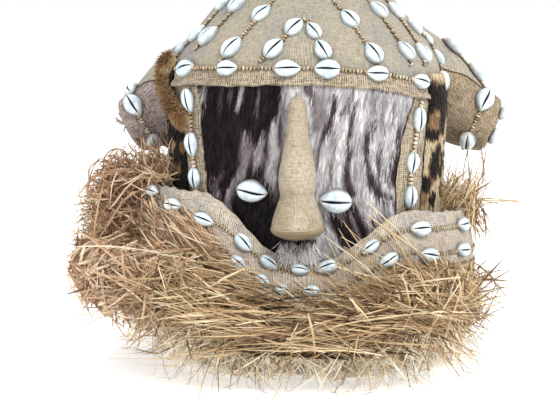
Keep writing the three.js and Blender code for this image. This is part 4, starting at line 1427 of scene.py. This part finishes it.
def front_spot(x, height, lift):
    angle = angle_at_x(x, height)
    return helmet_point(angle, height, lift), helmet_normal(angle, height)


def spot_at_x(x, height):
    """A place on the hood's front in degrees and height."""
    return math.degrees(float(angle_at_x(x, height))), height


# Each chevron from its foot on one side over its top, in degrees and height
CHEVRONS = [
    [spot_at_x(-37, 268), spot_at_x(-25, 279.5), spot_at_x(-8.3, 298), spot_at_x(0.5, 305),
     spot_at_x(8.6, 294.5), spot_at_x(16.4, 278), spot_at_x(22, 268)],
    [spot_at_x(-71, 268), spot_at_x(-61, 280.5), (-21.1, 310.2), (-14, 339), (0, 356), (13, 337),
     (20.8, 305.1), spot_at_x(58.7, 275.5), spot_at_x(62, 268)],
    [(-52, 279), (-46.1, 290.8), (-41.2, 319.3), (-36, 346), (-26, 368), (0, 388), (27, 366), (37, 343),
     (42.2, 313.6), (42.7, 277.7), (43, 266)],
    [(-74, 273), (-60.9, 294.4), (-58, 322), (-57, 350), (-60, 390)],
    [(60, 390), (57, 345), (58.6, 313.9), (55.6, 276.4), (53, 266)],
    [(68, 300), (81, 291), (78, 273.5), (76, 262)],
]
for chevron in CHEVRONS:
    stitch_line(*along(hood_spot, chevron))
stitch_line(*along(hood_spot, [(112, 256), (180, 256), (248, 256)]))
stitch_line(*along(hood_spot, [(180, 258), (180, 392)]))
for degrees in (-62, 62, 180):
    stitch_line(*along(trunk_spot, [(degrees, 0.02), (degrees, 0.94)]))
stitch_line(*along(trunk_spot, [(-180, 0.9), (0, 0.9), (180, 0.9)]))

brow_xs = np.linspace(1 - BROW_END[-1], BROW_END[1] - 1, 160)
brow_points = [front_spot(x, brow_line(x), ON_CLOTH) for x in brow_xs]
stitch_line([p for p, _ in brow_points], [n for _, n in brow_points], 0.2, 3.2, 2.0, 0.25, 1.0, 0.8)

# A near black strand along the brow hem's lower edge: painted shadow in the gap between the hem and the hide.
edge_points = []
for x in brow_xs:
    low_edge = brow_line(x) - BROW_DROP + hem_wave(x) - 0.3
    edge_points.append(front_spot(x, low_edge, ON_CLOTH + 1.4)[0])
edge_points = np.array(edge_points)
show("brow_hem_edge", strands(edge_points[None], 0.55, 0.9, row(0, -1, 0), 6, 0.02), STITCH_FIBRE)

for side, low, high in ((-1, 136, 244), (1, 134, 236)):
    heights = np.linspace(high, low, 50)
    middles = [(face_edge(side, z) + SIDE_BAND_SEAM + band_edge(side, z)) / 2 for z in heights]
    line = [front_spot(side * x, z, ON_CLOTH) for x, z in zip(middles, heights)]
    stitch_line([p for p, _ in line], [n for _, n in line], 0.2, 3.5, 2.6, 0.15, 1.35, 0.6, tone=0.78)


def collar_spot(degrees, down, lift=2.2):
    angle = math.radians(degrees)
    here = chin_point(angle, down, lift)
    around = chin_point(angle + 0.03, down, lift) - chin_point(angle - 0.03, down, lift)
    upward = chin_point(angle, down - 0.05, lift) - chin_point(angle, down + 0.05, lift)
    return here, unit(np.cross(around, upward))


for line, reach in ((UPPER_SEAM, 2.3), (LOWER_SEAM, 2.1)):
    stitch_line(*along(collar_spot, list(zip(*line))), 0.1, 2.9, reach, 0.12, 0.6, 0.45)
stitch_line(*along(collar_spot, [(52, 0.94), (84, 0.94)]), 0.1, 3.2, 3.4, 0.05, 0.7, 0)

EAR_RINGS = {"left": (1.1, -175, 175), "right": (1.02, -175, 175)}
for name, ear in EARS.items():

    def ear_spot(along_ear, degrees, ear=ear):
        turn = math.radians(degrees)
        centre = ear_point(ear, along_ear, turn, -20)
        outer = ear_point(ear, along_ear, turn, 40)
        place, normal, _, _ = ear["tree"].ray_cast(Vector(outer) * MM, Vector(unit(centre - outer)))
        return row(*place) / MM, row(*normal)

    share, start, end = EAR_RINGS[name]
    stitch_line(*along(ear_spot, [(share, start), (share, -60), (share, 60), (share, end)]), 0.2, 2.6, 2.3,
                0.35)
    if name == "right":
        stitch_line(*along(ear_spot, [(0.3, -8), (0.98, -10)]))
    # The dark seam where the roof's cloth meets the front's
    for side in (1, -1):
        seam = along(ear_spot, [(share, side * degrees) for share, degrees in zip(*EAR_SEAM[name])])
        stitch_line(*seam, 0.1, 2.8, 1.1, 0.2, 0.4, 0.5, tone=0.25)

stitch_paths = np.concatenate(stitch_parts["paths"])
swell = row(0.62, 0.95, 1.0, 0.95, 0.62)
stitch_width = np.concatenate(stitch_parts["width"])[:, None] * swell
# Painted shade and highlight: each stitch is darker at its ends, where it enters the cloth, than on its
# raised middle.
stitch_tone = np.concatenate(stitch_parts["tone"])[:, None] - row(0.45, 0.08, 0, 0.08, 0.45)
show(
    "stitches",
    strands(stitch_paths, stitch_width, stitch_width * 0.9, np.concatenate(stitch_parts["over"]), 6,
            stitch_tone),
    STITCH_FIBRE,
)
bm = bmesh.new()
for points, normals, radius, lift in cord_parts:
    if len(points) > 2:
        over = normals[None]
        paths = (points + normals * (lift + radius * 0.6))[None]
        part = strands(paths, radius, radius, over, 6, 0.16)
        bm.from_mesh(part)
        bpy.data.meshes.remove(part)
show("couched_cords", bm, STITCH_FIBRE)


# The ruff of loose raffia

HOOD_CLEARANCE = 2.0
HOOD_REACH = 115  # about how far the hood's side is from its axis


def outside_helmet(points):
    """Pushes points out of the helmet, about HOOD_CLEARANCE millimetres off it."""
    half_width, front, back, squareness = helmet_station(np.clip(points[..., 2], 0, CROWN_TOP))
    reach = np.where(points[..., 1] < 0, front, back)
    across, deep = np.abs(points[..., 0]) / half_width, np.abs(points[..., 1]) / reach
    share = np.maximum((across**squareness + deep**squareness) ** (1 / squareness), 0.05)
    scale = np.maximum(1, (1 + HOOD_CLEARANCE / HOOD_REACH) / share)
    return np.concatenate([points[..., :2] * scale[..., None], points[..., 2:]], -1)


# The outside of the ruff, from under the collar to its foot: share of the reach, and share of the height
RUFF_LINE_STEPS = [0, 0.22, 0.5, 0.78, 1]
RUFF_LINE_OUT = [0.3, 0.76, 0.95, 0.76, 0.42]
RUFF_LEFT_OUT = [0.66, 0.93, 1.03, 1.0, 0.8]
RUFF_LINE_RISE = [1, 0.86, 0.56, 0.28, 0.1]
RUFF_LEFT_FOOT = 52  # how far off the floor the left side stands out
RUFF_RIGHT_FOOT = 18
RUFF_FRONT_FOOT = 36
RUFF_RIGHT_TRIM = 0.52  # how much less far the right side reaches
STRAY_ROOM = 18  # how far loose strands may pass the solid ruff


def ruff_crest(angle):
    """Height of the ruff's top edge. On the right it stays low until well behind the ear."""
    turned = np.arctan2(np.sin(angle), np.cos(angle))
    start = np.where(turned < 0, CHIN_HALF_ARC + 0.05, 2.25)
    rise = smoothstep(np.abs(turned), start, start + 0.35)
    return lerp(chin_top(angle) - chin_width(angle) - 4, RUFF_BACK_TOP, rise)


def ruff_outside(angle, down):
    """Points of the ruff's outside. Its foot is off the floor at the front and at both sides, most of all
    on the left."""
    sine, cosine = np.sin(angle), np.cos(angle)
    lifted = RUFF_LEFT_FOOT * smoothstep(-sine, 0.42, 0.75) + RUFF_RIGHT_FOOT * smoothstep(sine, 0.5, 0.9)
    lifted = np.maximum(lifted, RUFF_FRONT_FOOT * smoothstep(cosine, 0.15, 0.55))
    height = lifted + np.interp(down, RUFF_LINE_STEPS, RUFF_LINE_RISE) * (ruff_crest(angle) - lifted)
    trim = 1 - RUFF_RIGHT_TRIM * smoothstep(sine, 0.5, 0.95)
    out = np.interp(down, RUFF_LINE_STEPS, RUFF_LINE_OUT) * trim
    out = lerp(out, np.interp(down, RUFF_LINE_STEPS, RUFF_LEFT_OUT), smoothstep(-sine, 0.55, 0.9))
    plan = np.stack(
        [
            RUFF_HALF_WIDTH * np.sign(sine) * np.abs(sine) ** (2 / RUFF_SQUARENESS),
            -RUFF_HALF_DEPTH * np.sign(cosine) * np.abs(cosine) ** (2 / RUFF_SQUARENESS),
            height,
        ],
        -1,
    )
    return lerp(helmet_flat(angle, height), plan, out[..., None])


def lifted_clear(points, sides=1.0, front=1.0):
    """Gathers what would hang below the ruff's raised sides and front, by the shares sides and front."""
    left = sides * (RUFF_LEFT_FOOT - 14) * smoothstep(-points[..., 0], 88, 150)
    right = sides * (RUFF_RIGHT_FOOT - 5) * smoothstep(points[..., 0], 150, 185)
    middle = front * (RUFF_FRONT_FOOT - 4) * smoothstep(-points[..., 1], 50, 110)
    foot = np.maximum(np.maximum(left, right), middle)
    height = np.where(points[..., 2] < foot, foot + 0.22 * (points[..., 2] - foot), points[..., 2])
    return np.concatenate([points[..., :2], height[..., None]], -1)


# How far the ruff's dense part stands out to the left and to the right, by height
LEFT_OUTLINE = ([20, 40, 52, 65, 80, 95, 125, 141, 156, 171, 190, 205],
                [150, 165, 183, 200, 210, 214, 214, 208, 198, 188, 174, 156])
RIGHT_OUTLINE = ([0, 25, 60, 90, 120, 180], [150, 156, 158, 157, 163, 166])


def within_outline(points, proud):
    """Shifts each strand back inside the ruff's rounded sides, past which it may stand by proud."""
    for side, outline in ((-1, LEFT_OUTLINE), (1, RIGHT_OUTLINE)):
        past = (side * points[..., 0] - np.interp(points[..., 2], *outline)).max(axis=1) - proud
        points[..., 0] -= side * np.maximum(past, 0)[:, None]
    return points


def within_reach(points):
    """Shifts each strand that would pass the ruff's greatest width or depth back inside it."""
    for axis, most in ((0, RUFF_HALF_WIDTH + STRAY_ROOM), (1, RUFF_HALF_DEPTH + STRAY_ROOM)):
        high = np.maximum(points[..., axis].max(axis=1) - most, 0)
        low = np.minimum(points[..., axis].min(axis=1) + most, 0)
        points[..., axis] -= (high + low)[:, None]
    return points


def ruff_facing(angle, down):
    around = ruff_outside(angle + 0.03, down) - ruff_outside(angle - 0.03, down)
    upward = ruff_outside(angle, down - 0.04) - ruff_outside(angle, down + 0.04)
    return unit(np.cross(around, upward))


def bent_strands(name, start, heading, length, width, tone, rings=6, droop=0.1, kink=0.35, curl=0.0,
                 sway=0.02, gather=(1.0, 1.0), proud=3.5, darkest=0.34, faced=((0, 0, 0),),
                 material=LOOSE_RAFFIA):
    """Creased strips of leaf that run from start along heading, sag and bend at one fold."""
    count = len(start)
    t = np.linspace(0, 1, rings)[None, :, None]
    reach = length[:, None, None]
    fold_at = chance.uniform(0.2, 0.8, (count, 1, 1))
    fold = chance.normal(0, 1, (count, 1, 3)) * (chance.random((count, 1, 1)) ** 2) * kink
    wave = chance.uniform(0, 6.3, (count, 1, 3))
    paths = start[:, None] + reach * (heading[:, None] * t + np.maximum(t - fold_at, 0) * fold)
    paths = paths + row(0, 0, -droop) * reach * t**2 + sway * reach * (np.sin(wave + 5 * t) - np.sin(wave))
    if curl:
        turn = wave[..., :1] + 6.5 * t
        first = unit(np.cross(heading, row(0.3, 1, 0.2)))[:, None]
        second = np.cross(heading, first[:, 0])[:, None]
        paths = paths + curl * (first * np.cos(turn) + second * np.sin(turn))
    paths = within_reach(within_outline(paths, chance.exponential(proud, count)))
    paths = lifted_clear(outside_helmet(paths), *gather)
    paths[..., 2] = np.maximum(paths[..., 2], 0.7 + 0.6 * width[:, None])
    taper = np.interp(np.linspace(0, 1, rings), [0, 0.12, 0.7, 1], [0.55, 1, 0.8, 0.15])[None]
    over = unit(chance.normal(0, 1, (count, 1, 3)) + np.zeros((1, rings, 1)) + np.array(faced)[..., None, :])
    widths = width[:, None] * taper
    tones = np.clip(np.maximum(tone, darkest)[:, None] + chance.normal(0, 0.035, (count, rings)), 0, 1)
    mesh = strands(paths, widths, widths * 0.4, over, 3, tones)
    return show(name, mesh, material, smooth=False)


# How the strands lie on the front, as the eye meets them: x, height, the way their tips point in degrees
# from +X up, how much that spreads, and their usual length
STRAND_LIE = [
    (-190, 165, 140, 75, 40), (-205, 110, 120, 75, 42), (-180, 70, 200, 60, 44), (-150, 135, 165, 85, 40),
    (-125, 105, 130, 60, 44), (-92, 90, 140, 22, 70), (-105, 70, 174, 34, 70), (-105, 36, 208, 24, 60),
    (-50, 72, 168, 17, 95), (-45, 50, 184, 13, 110), (-40, 20, 206, 32, 60), (20, 62, 2, 14, 110),
    (15, 35, 176, 18, 90), (40, 16, -28, 38, 50), (85, 64, -24, 28, 80), (118, 76, -40, 50, 56),
    (150, 66, -50, 60, 46), (190, 60, 10, 45, 46), (145, 26, -66, 34, 44), (110, 32, 50, 36, 52),
]


def ruff_tangle(name, count, low, high, depth, tones, down_shares=(1.1, 1.6), widths=(0.6, 1.25), shorter=1.0,
                rise=9, depth_shade=0.022, **bend):
    """Strands over a stretch of the ruff, depth millimetres under its outside, painted darker by the given
    shade per millimetre for each further millimetre, as painted shade inside the ruff. rise is how far they
    may top the ruff's crest. Those that would run inwards are laid along its outside, and on the front
    those that run outwards mostly so, before each is tipped a little at random. The more one ran outwards,
    the more its wide side tends to face out."""
    angle = chance.uniform(low, high, count)
    down = chance.beta(*down_shares, count)
    facing = ruff_facing(angle, down)
    inset = chance.uniform(*depth, count)
    middle = ruff_outside(angle, down) - facing * inset[:, None]
    lie = row(*STRAND_LIE)
    apart = np.hypot(middle[:, :1] - lie[:, 0], middle[:, 2:] - lie[:, 1])
    nearness = 1 / (apart + 8) ** 3
    shares = np.cumsum(nearness, axis=1) / nearness.sum(axis=1, keepdims=True)
    pick = (shares < chance.random((count, 1))).sum(axis=1)
    way = np.radians(lie[pick, 2] + chance.normal(0, 1, count) * lie[pick, 3])
    drawn = np.stack([np.cos(way), 0 * way, np.sin(way)], -1)
    behind = smoothstep(np.abs(angle), 1.5, 1.9)[:, None]
    tangent = unit(np.cross(facing, row(0, 0, 1)))
    fallen = unit(facing * 0.55 + row(0, 0, -0.8) + tangent * chance.normal(0, 0.55, (count, 1)))
    heading = lerp(drawn, fallen, behind)
    inward = np.minimum(np.sum(heading * facing, axis=1, keepdims=True), 0)
    frontal = np.sum(heading * facing, axis=1, keepdims=True) * (1 - np.abs(facing[:, :1]) ** 2)
    heading = unit(heading - facing * (inward + 0.8 * (frontal - np.minimum(frontal, 0))))
    heading = unit(heading + facing * chance.normal(0.1, 0.16, (count, 1)))
    length = lie[pick, 4] * chance.uniform(0.55, 1.3, count) * shorter
    outward = np.sum(heading * facing, axis=1)
    back = 0.5 + 0.42 * np.clip(outward, 0, 1)
    start = middle - heading * (length * back)[:, None]
    top = np.maximum(start[:, 2], start[:, 2] + heading[:, 2] * length)
    start[:, 2] -= np.maximum(top - ruff_crest(angle) - rise, 0)
    width = chance.uniform(*widths, count) * np.where(chance.random(count) < 0.06, 1.7, 1)
    # Painted shade: strands further under the ruff's outside are darker.
    tone = chance.normal(*tones, count) - depth_shade * (inset - depth[0])
    return bent_strands(name, start, heading, length, width, tone, faced=facing * frontal, **bend)


LEFT_SIDE, RIGHT_SIDE, BACK = -1.95, 1.95, math.pi
# A layer of strands under the outer ones, dark as painted shade deep in the front of the ruff.
under = ruff_tangle("ruff_under_front", 1900, LEFT_SIDE, RIGHT_SIDE, (12, 30), (0.34, 0.09), (1.1, 1.9),
                    (0.9, 1.8), 0.75, rise=-7, depth_shade=0.014, darkest=0.1)
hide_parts("raffia_ruff")
ruff_tangle("ruff_left", 1900, LEFT_SIDE, -0.58, (-7, 13), (0.77, 0.2), widths=(0.8, 1.8), shorter=0.9,
            kink=0.7, sway=0.03, proud=4.5, material=BROWN_RAFFIA)
ruff_tangle("ruff_middle", 1700, -0.72, 0.75, (-6, 10), (0.79, 0.17), (0.85, 1.4))
ruff_tangle("ruff_right", 850, 0.7, RIGHT_SIDE, (-7, 11), (0.62, 0.19), darkest=0.28)
ruff_tangle("ruff_back", 1900, RIGHT_SIDE, 2 * BACK + LEFT_SIDE, (-4, 24), (0.77, 0.18))


def scattered(count, centre, size):
    return row(*centre) + chance.uniform(-1, 1, (count, 3)) * row(*size)


def aimed(count, way, spread):
    return unit(row(*way) + chance.normal(0, spread, (count, 3)))


def tuft(name, count, centre, size, way, spread, lengths, tones, widths, **bend):
    length = chance.uniform(*lengths, count)
    heading = aimed(count, way, spread)
    start = scattered(count, centre, size) - heading * length[:, None] * 0.4
    tone = chance.normal(*tones, count)
    return bent_strands(name, start, heading, length, chance.uniform(*widths, count), tone, **bend)


# Each tuft's name and count, the middle and half size of the place it grows from, the way it points and
# how much that spreads, its strands' lengths, tones and half widths, and how they bend
BROWN = {"material": BROWN_RAFFIA}
NOT_HELD_IN = 900.0  # so proud that the ruff's outline hardly ever holds a strand back
TUFTS = [
    ("ruff_left_crest", 620, (-156, -55, 142), (38, 36, 34), (-0.5, -0.2, 0.1), 0.9,
     (24, 48), (0.64, 0.2), (0.8, 1.7), {"kink": 0.8, "sway": 0.04, **BROWN}),
    ("ruff_left_curls", 150, (-160, -50, 166), (30, 26, 22), (-0.5, -0.2, 0.5), 0.6,
     (22, 38), (0.56, 0.17), (0.5, 1.1), {"rings": 16, "curl": 6.0, "proud": 6.0, **BROWN}),
    ("ruff_left_reach", 140, (-131, -68, 176), (18, 12, 14), (-0.15, -0.1, 0.9), 0.45,
     (26, 54), (0.66, 0.15), (0.4, 0.8), BROWN),
    ("ruff_right_crest", 340, (133, -36, 141), (22, 20, 16), (0.2, -0.05, 0.95), 0.42,
     (32, 62), (0.69, 0.19), (0.45, 0.95), {"kink": 0.35, "proud": 6.0}),
    ("ruff_right_tall", 12, (143, -36, 176), (22, 8, 8), (0.1, 0, 1), 0.18,
     (40, 62), (0.54, 0.1), (0.5, 0.85), {"kink": 0.1, "proud": 8.0}),
    ("ruff_right_knot", 22, (160, -40, 130), (7, 12, 14), (0.5, -0.1, -0.75), 0.3,
     (18, 36), (0.48, 0.12), (0.5, 1.1), {"proud": 14.0}),
    ("ruff_right_straight", 4, (168, -34, 146), (6, 10, 4), (1, 0, 0.02), 0.06,
     (48, 60), (0.66, 0.1), (0.5, 0.75), {"kink": 0.1, "proud": NOT_HELD_IN}),
    ("ruff_stray_left", 240, (-186, -35, 104), (20, 50, 50), (-1, -0.15, -0.1), 0.5,
     (34, 66), (0.66, 0.18), (0.4, 0.85), {"kink": 0.4, "sway": 0.05, "proud": 16.0}),
    ("ruff_stray_right", 130, (158, -40, 54), (16, 50, 28), (1, -0.15, 0.1), 0.55,
     (28, 56), (0.58, 0.18), (0.4, 0.85), {"kink": 0.4, "proud": 24.0}),
    ("ruff_right_twigs", 20, (172, -40, 60), (12, 30, 24), (0.85, -0.1, 0.4), 0.4,
     (32, 56), (0.45, 0.08), (0.8, 1.4), {"proud": 36.0}),
]
for *settings, bend in TUFTS:
    tuft(*settings, **bend)

# Strands that lie over the collar: on its left half running down to the middle, and below the nose
for name, count, degrees, downs, ways, lengths in (
    ("ruff_over_left", 560, (-76, -37), (0.38, 1.25), (-41, 20), (24, 58)),
    ("ruff_over_inner", 220, (-44, -24), (0.52, 1.2), (-36, 18), (24, 56)),
    ("ruff_over_corner", 130, (-87, -64), (-0.15, 0.9), (-58, 32), (24, 54)),
    ("ruff_over_middle", 280, (-40, 20), (0.97, 1.5), (-8, 18), (50, 110)),
    ("ruff_over_right", 34, (4, 32), (0.3, 1.1), (-38, 11), (50, 100)),
    ("ruff_over_edge", 80, (20, 66), (1.08, 1.3), (-25, 38), (35, 75)),
):
    spots = [
        collar_spot(chance.uniform(*degrees), chance.uniform(*downs), chance.uniform(4, 11))
        for _ in range(count)
    ]
    middle, facing = (row(*[spot[k] for spot in spots]) for k in (0, 1))
    way = np.radians(chance.normal(*ways, count))
    # Each lies on the collar and keeps the way it is seen to point
    towards = -(np.cos(way) * facing[:, 0] + np.sin(way) * facing[:, 2]) / np.minimum(facing[:, 1], -0.4)
    heading = unit(np.stack([np.cos(way), towards, np.sin(way)], -1) + facing * 0.04)
    length = chance.uniform(*lengths, count)
    brown = name in ("ruff_over_left", "ruff_over_inner", "ruff_over_corner")
    bent_strands(name, middle - heading * length[:, None] / 2, heading, length,
                 chance.uniform(0.45, 0.9, count),
                 chance.normal(0.66 if brown else 0.76, 0.15, count), kink=0.3 if brown else 0.15, droop=0.04,
                 material=BROWN_RAFFIA if brown else LOOSE_RAFFIA)

# A loose fringe of crossing strands below the front's dense part, in the paler leaf, painted light against
# the shade under the ruff
FRINGE_STRANDS = 620
WISPS = 260
LEAVES = 14
count = FRINGE_STRANDS
angle = chance.uniform(-0.95, 1.15, count)
facing = ruff_facing(angle, np.full(count, 0.5))
start = ruff_outside(angle, chance.uniform(0.6, 1.0, count)) + facing * chance.uniform(-22, 4, (count, 1))
start[:, 2] -= chance.uniform(0, 14, count)
tangent = unit(np.cross(facing, row(0, 0, 1)))
slant = chance.choice([-1, 1], count) * chance.uniform(0.4, 2.2, count)
heading = unit(tangent * slant[:, None] + facing * 0.1 + aimed(count, (0, 0, -0.6), 0.2))
length = chance.uniform(26, 66, count)
bent_strands("ruff_fringe", start - heading * length[:, None] * 0.25, heading, length,
             chance.uniform(0.5, 0.9, count),
             chance.normal(0.84, 0.15, count), kink=0.7, sway=0.05, gather=(1, 0), material=LIGHTENED_RAFFIA)

# Strands that hang close round the foot of the hood, before its rim, palest on the front, where their pale
# leaf is painted light against the shade under the ruff
for name, count, low, high, pale, material in (
    ("ruff_foot_front", 460, -1.15, 1.25, 0.95, LIGHTENED_RAFFIA),
    ("ruff_foot_round", 950, 1.2, 5.2, 0.74, LOOSE_RAFFIA),
):
    angle = chance.uniform(low, high, count)
    height = chance.uniform(6, 44, count) + 34 * smoothstep(-np.sin(angle), 0.4, 0.8) * chance.random(count)
    normal = helmet_normal(angle, height)
    start = helmet_point(angle, height) + normal * chance.uniform(4, 26, (count, 1))
    tangent = unit(np.cross(normal, row(0, 0, 1)))
    heading = unit(tangent * chance.normal(0, 1.1, (count, 1)) + normal * 0.12 + row(0, 0, -0.8))
    length = chance.uniform(22, 48, count)
    bent_strands(name, start - heading * length[:, None] * 0.3, heading, length,
                 chance.uniform(0.6, 1.1, count),
                 chance.normal(pale, 0.12, count), kink=0.5, sway=0.05, gather=(0, 0), material=material)

# Thin wisps and a few wide leaves that hang from the front's foot and lie on the floor before it
count = WISPS
angle = chance.uniform(-0.8, 1.05, count)
start = ruff_outside(angle, chance.uniform(0.78, 1.0, count))
heading = unit(ruff_facing(angle, np.full(count, 0.5)) * row(0.8, 0.9, 0) + aimed(count, (0, 0, -0.25), 0.42))
bent_strands("ruff_wisps", start, heading, chance.uniform(34, 84, count), chance.uniform(0.4, 0.75, count),
             chance.normal(0.66, 0.18, count), droop=0.15, sway=0.06, gather=(1, 0))
count = LEAVES
angle = chance.uniform(-0.6, 0.75, count)
start = ruff_outside(angle, chance.uniform(0.75, 0.95, count))
heading = unit(ruff_facing(angle, np.full(count, 0.5)) * row(0.7, 0.7, 0) + aimed(count, (0, 0, -0.3), 0.35))
bent_strands("ruff_leaves", start, heading, chance.uniform(30, 58, count), chance.uniform(1.2, 2.0, count),
             chance.normal(0.5, 0.12, count), rings=12, droop=0.2, kink=0.7, gather=(1, 0))

# A frayed end of thread on the left ear's rim
THREAD_END = row(-166, -20, 213)
count = 9
heading = aimed(count, (-0.8, -0.2, 0.35), 0.3)
share = np.linspace(0, 1, 4)[None, :, None]
length = chance.uniform(7, 12, (count, 1, 1))
paths = THREAD_END + (heading[:, None] * share + chance.normal(0, 0.25, (count, 1, 3)) * share**2) * length
show("ear_frayed_thread", strands(paths, 0.7, 0.5, row(0, -1, 0), 5, 0.5), STITCH_FIBRE)

# Shorter strands that fill the ruff in towards the hood on its left and behind, darker than the outer ones as
# painted shade deep inside it
ruff_tangle("ruff_inner", 900, -2.8, -1.1, (20, 80), (0.55, 0.14), widths=(0.8, 1.6), shorter=0.8, rise=-4,
            depth_shade=0.004, darkest=0.16)


# The floor

bm = bmesh.new()
bmesh.ops.create_grid(bm, x_segments=1, y_segments=1, size=8)
floor_mesh = bpy.data.meshes.new("floor")
bm.to_mesh(floor_mesh)
bm.free()
floor_mesh.materials.append(floor_material("pale_floor", "#fbfbfb", 0.5))
floor = bpy.data.objects.new("floor", floor_mesh)
scene.collection.objects.link(floor)
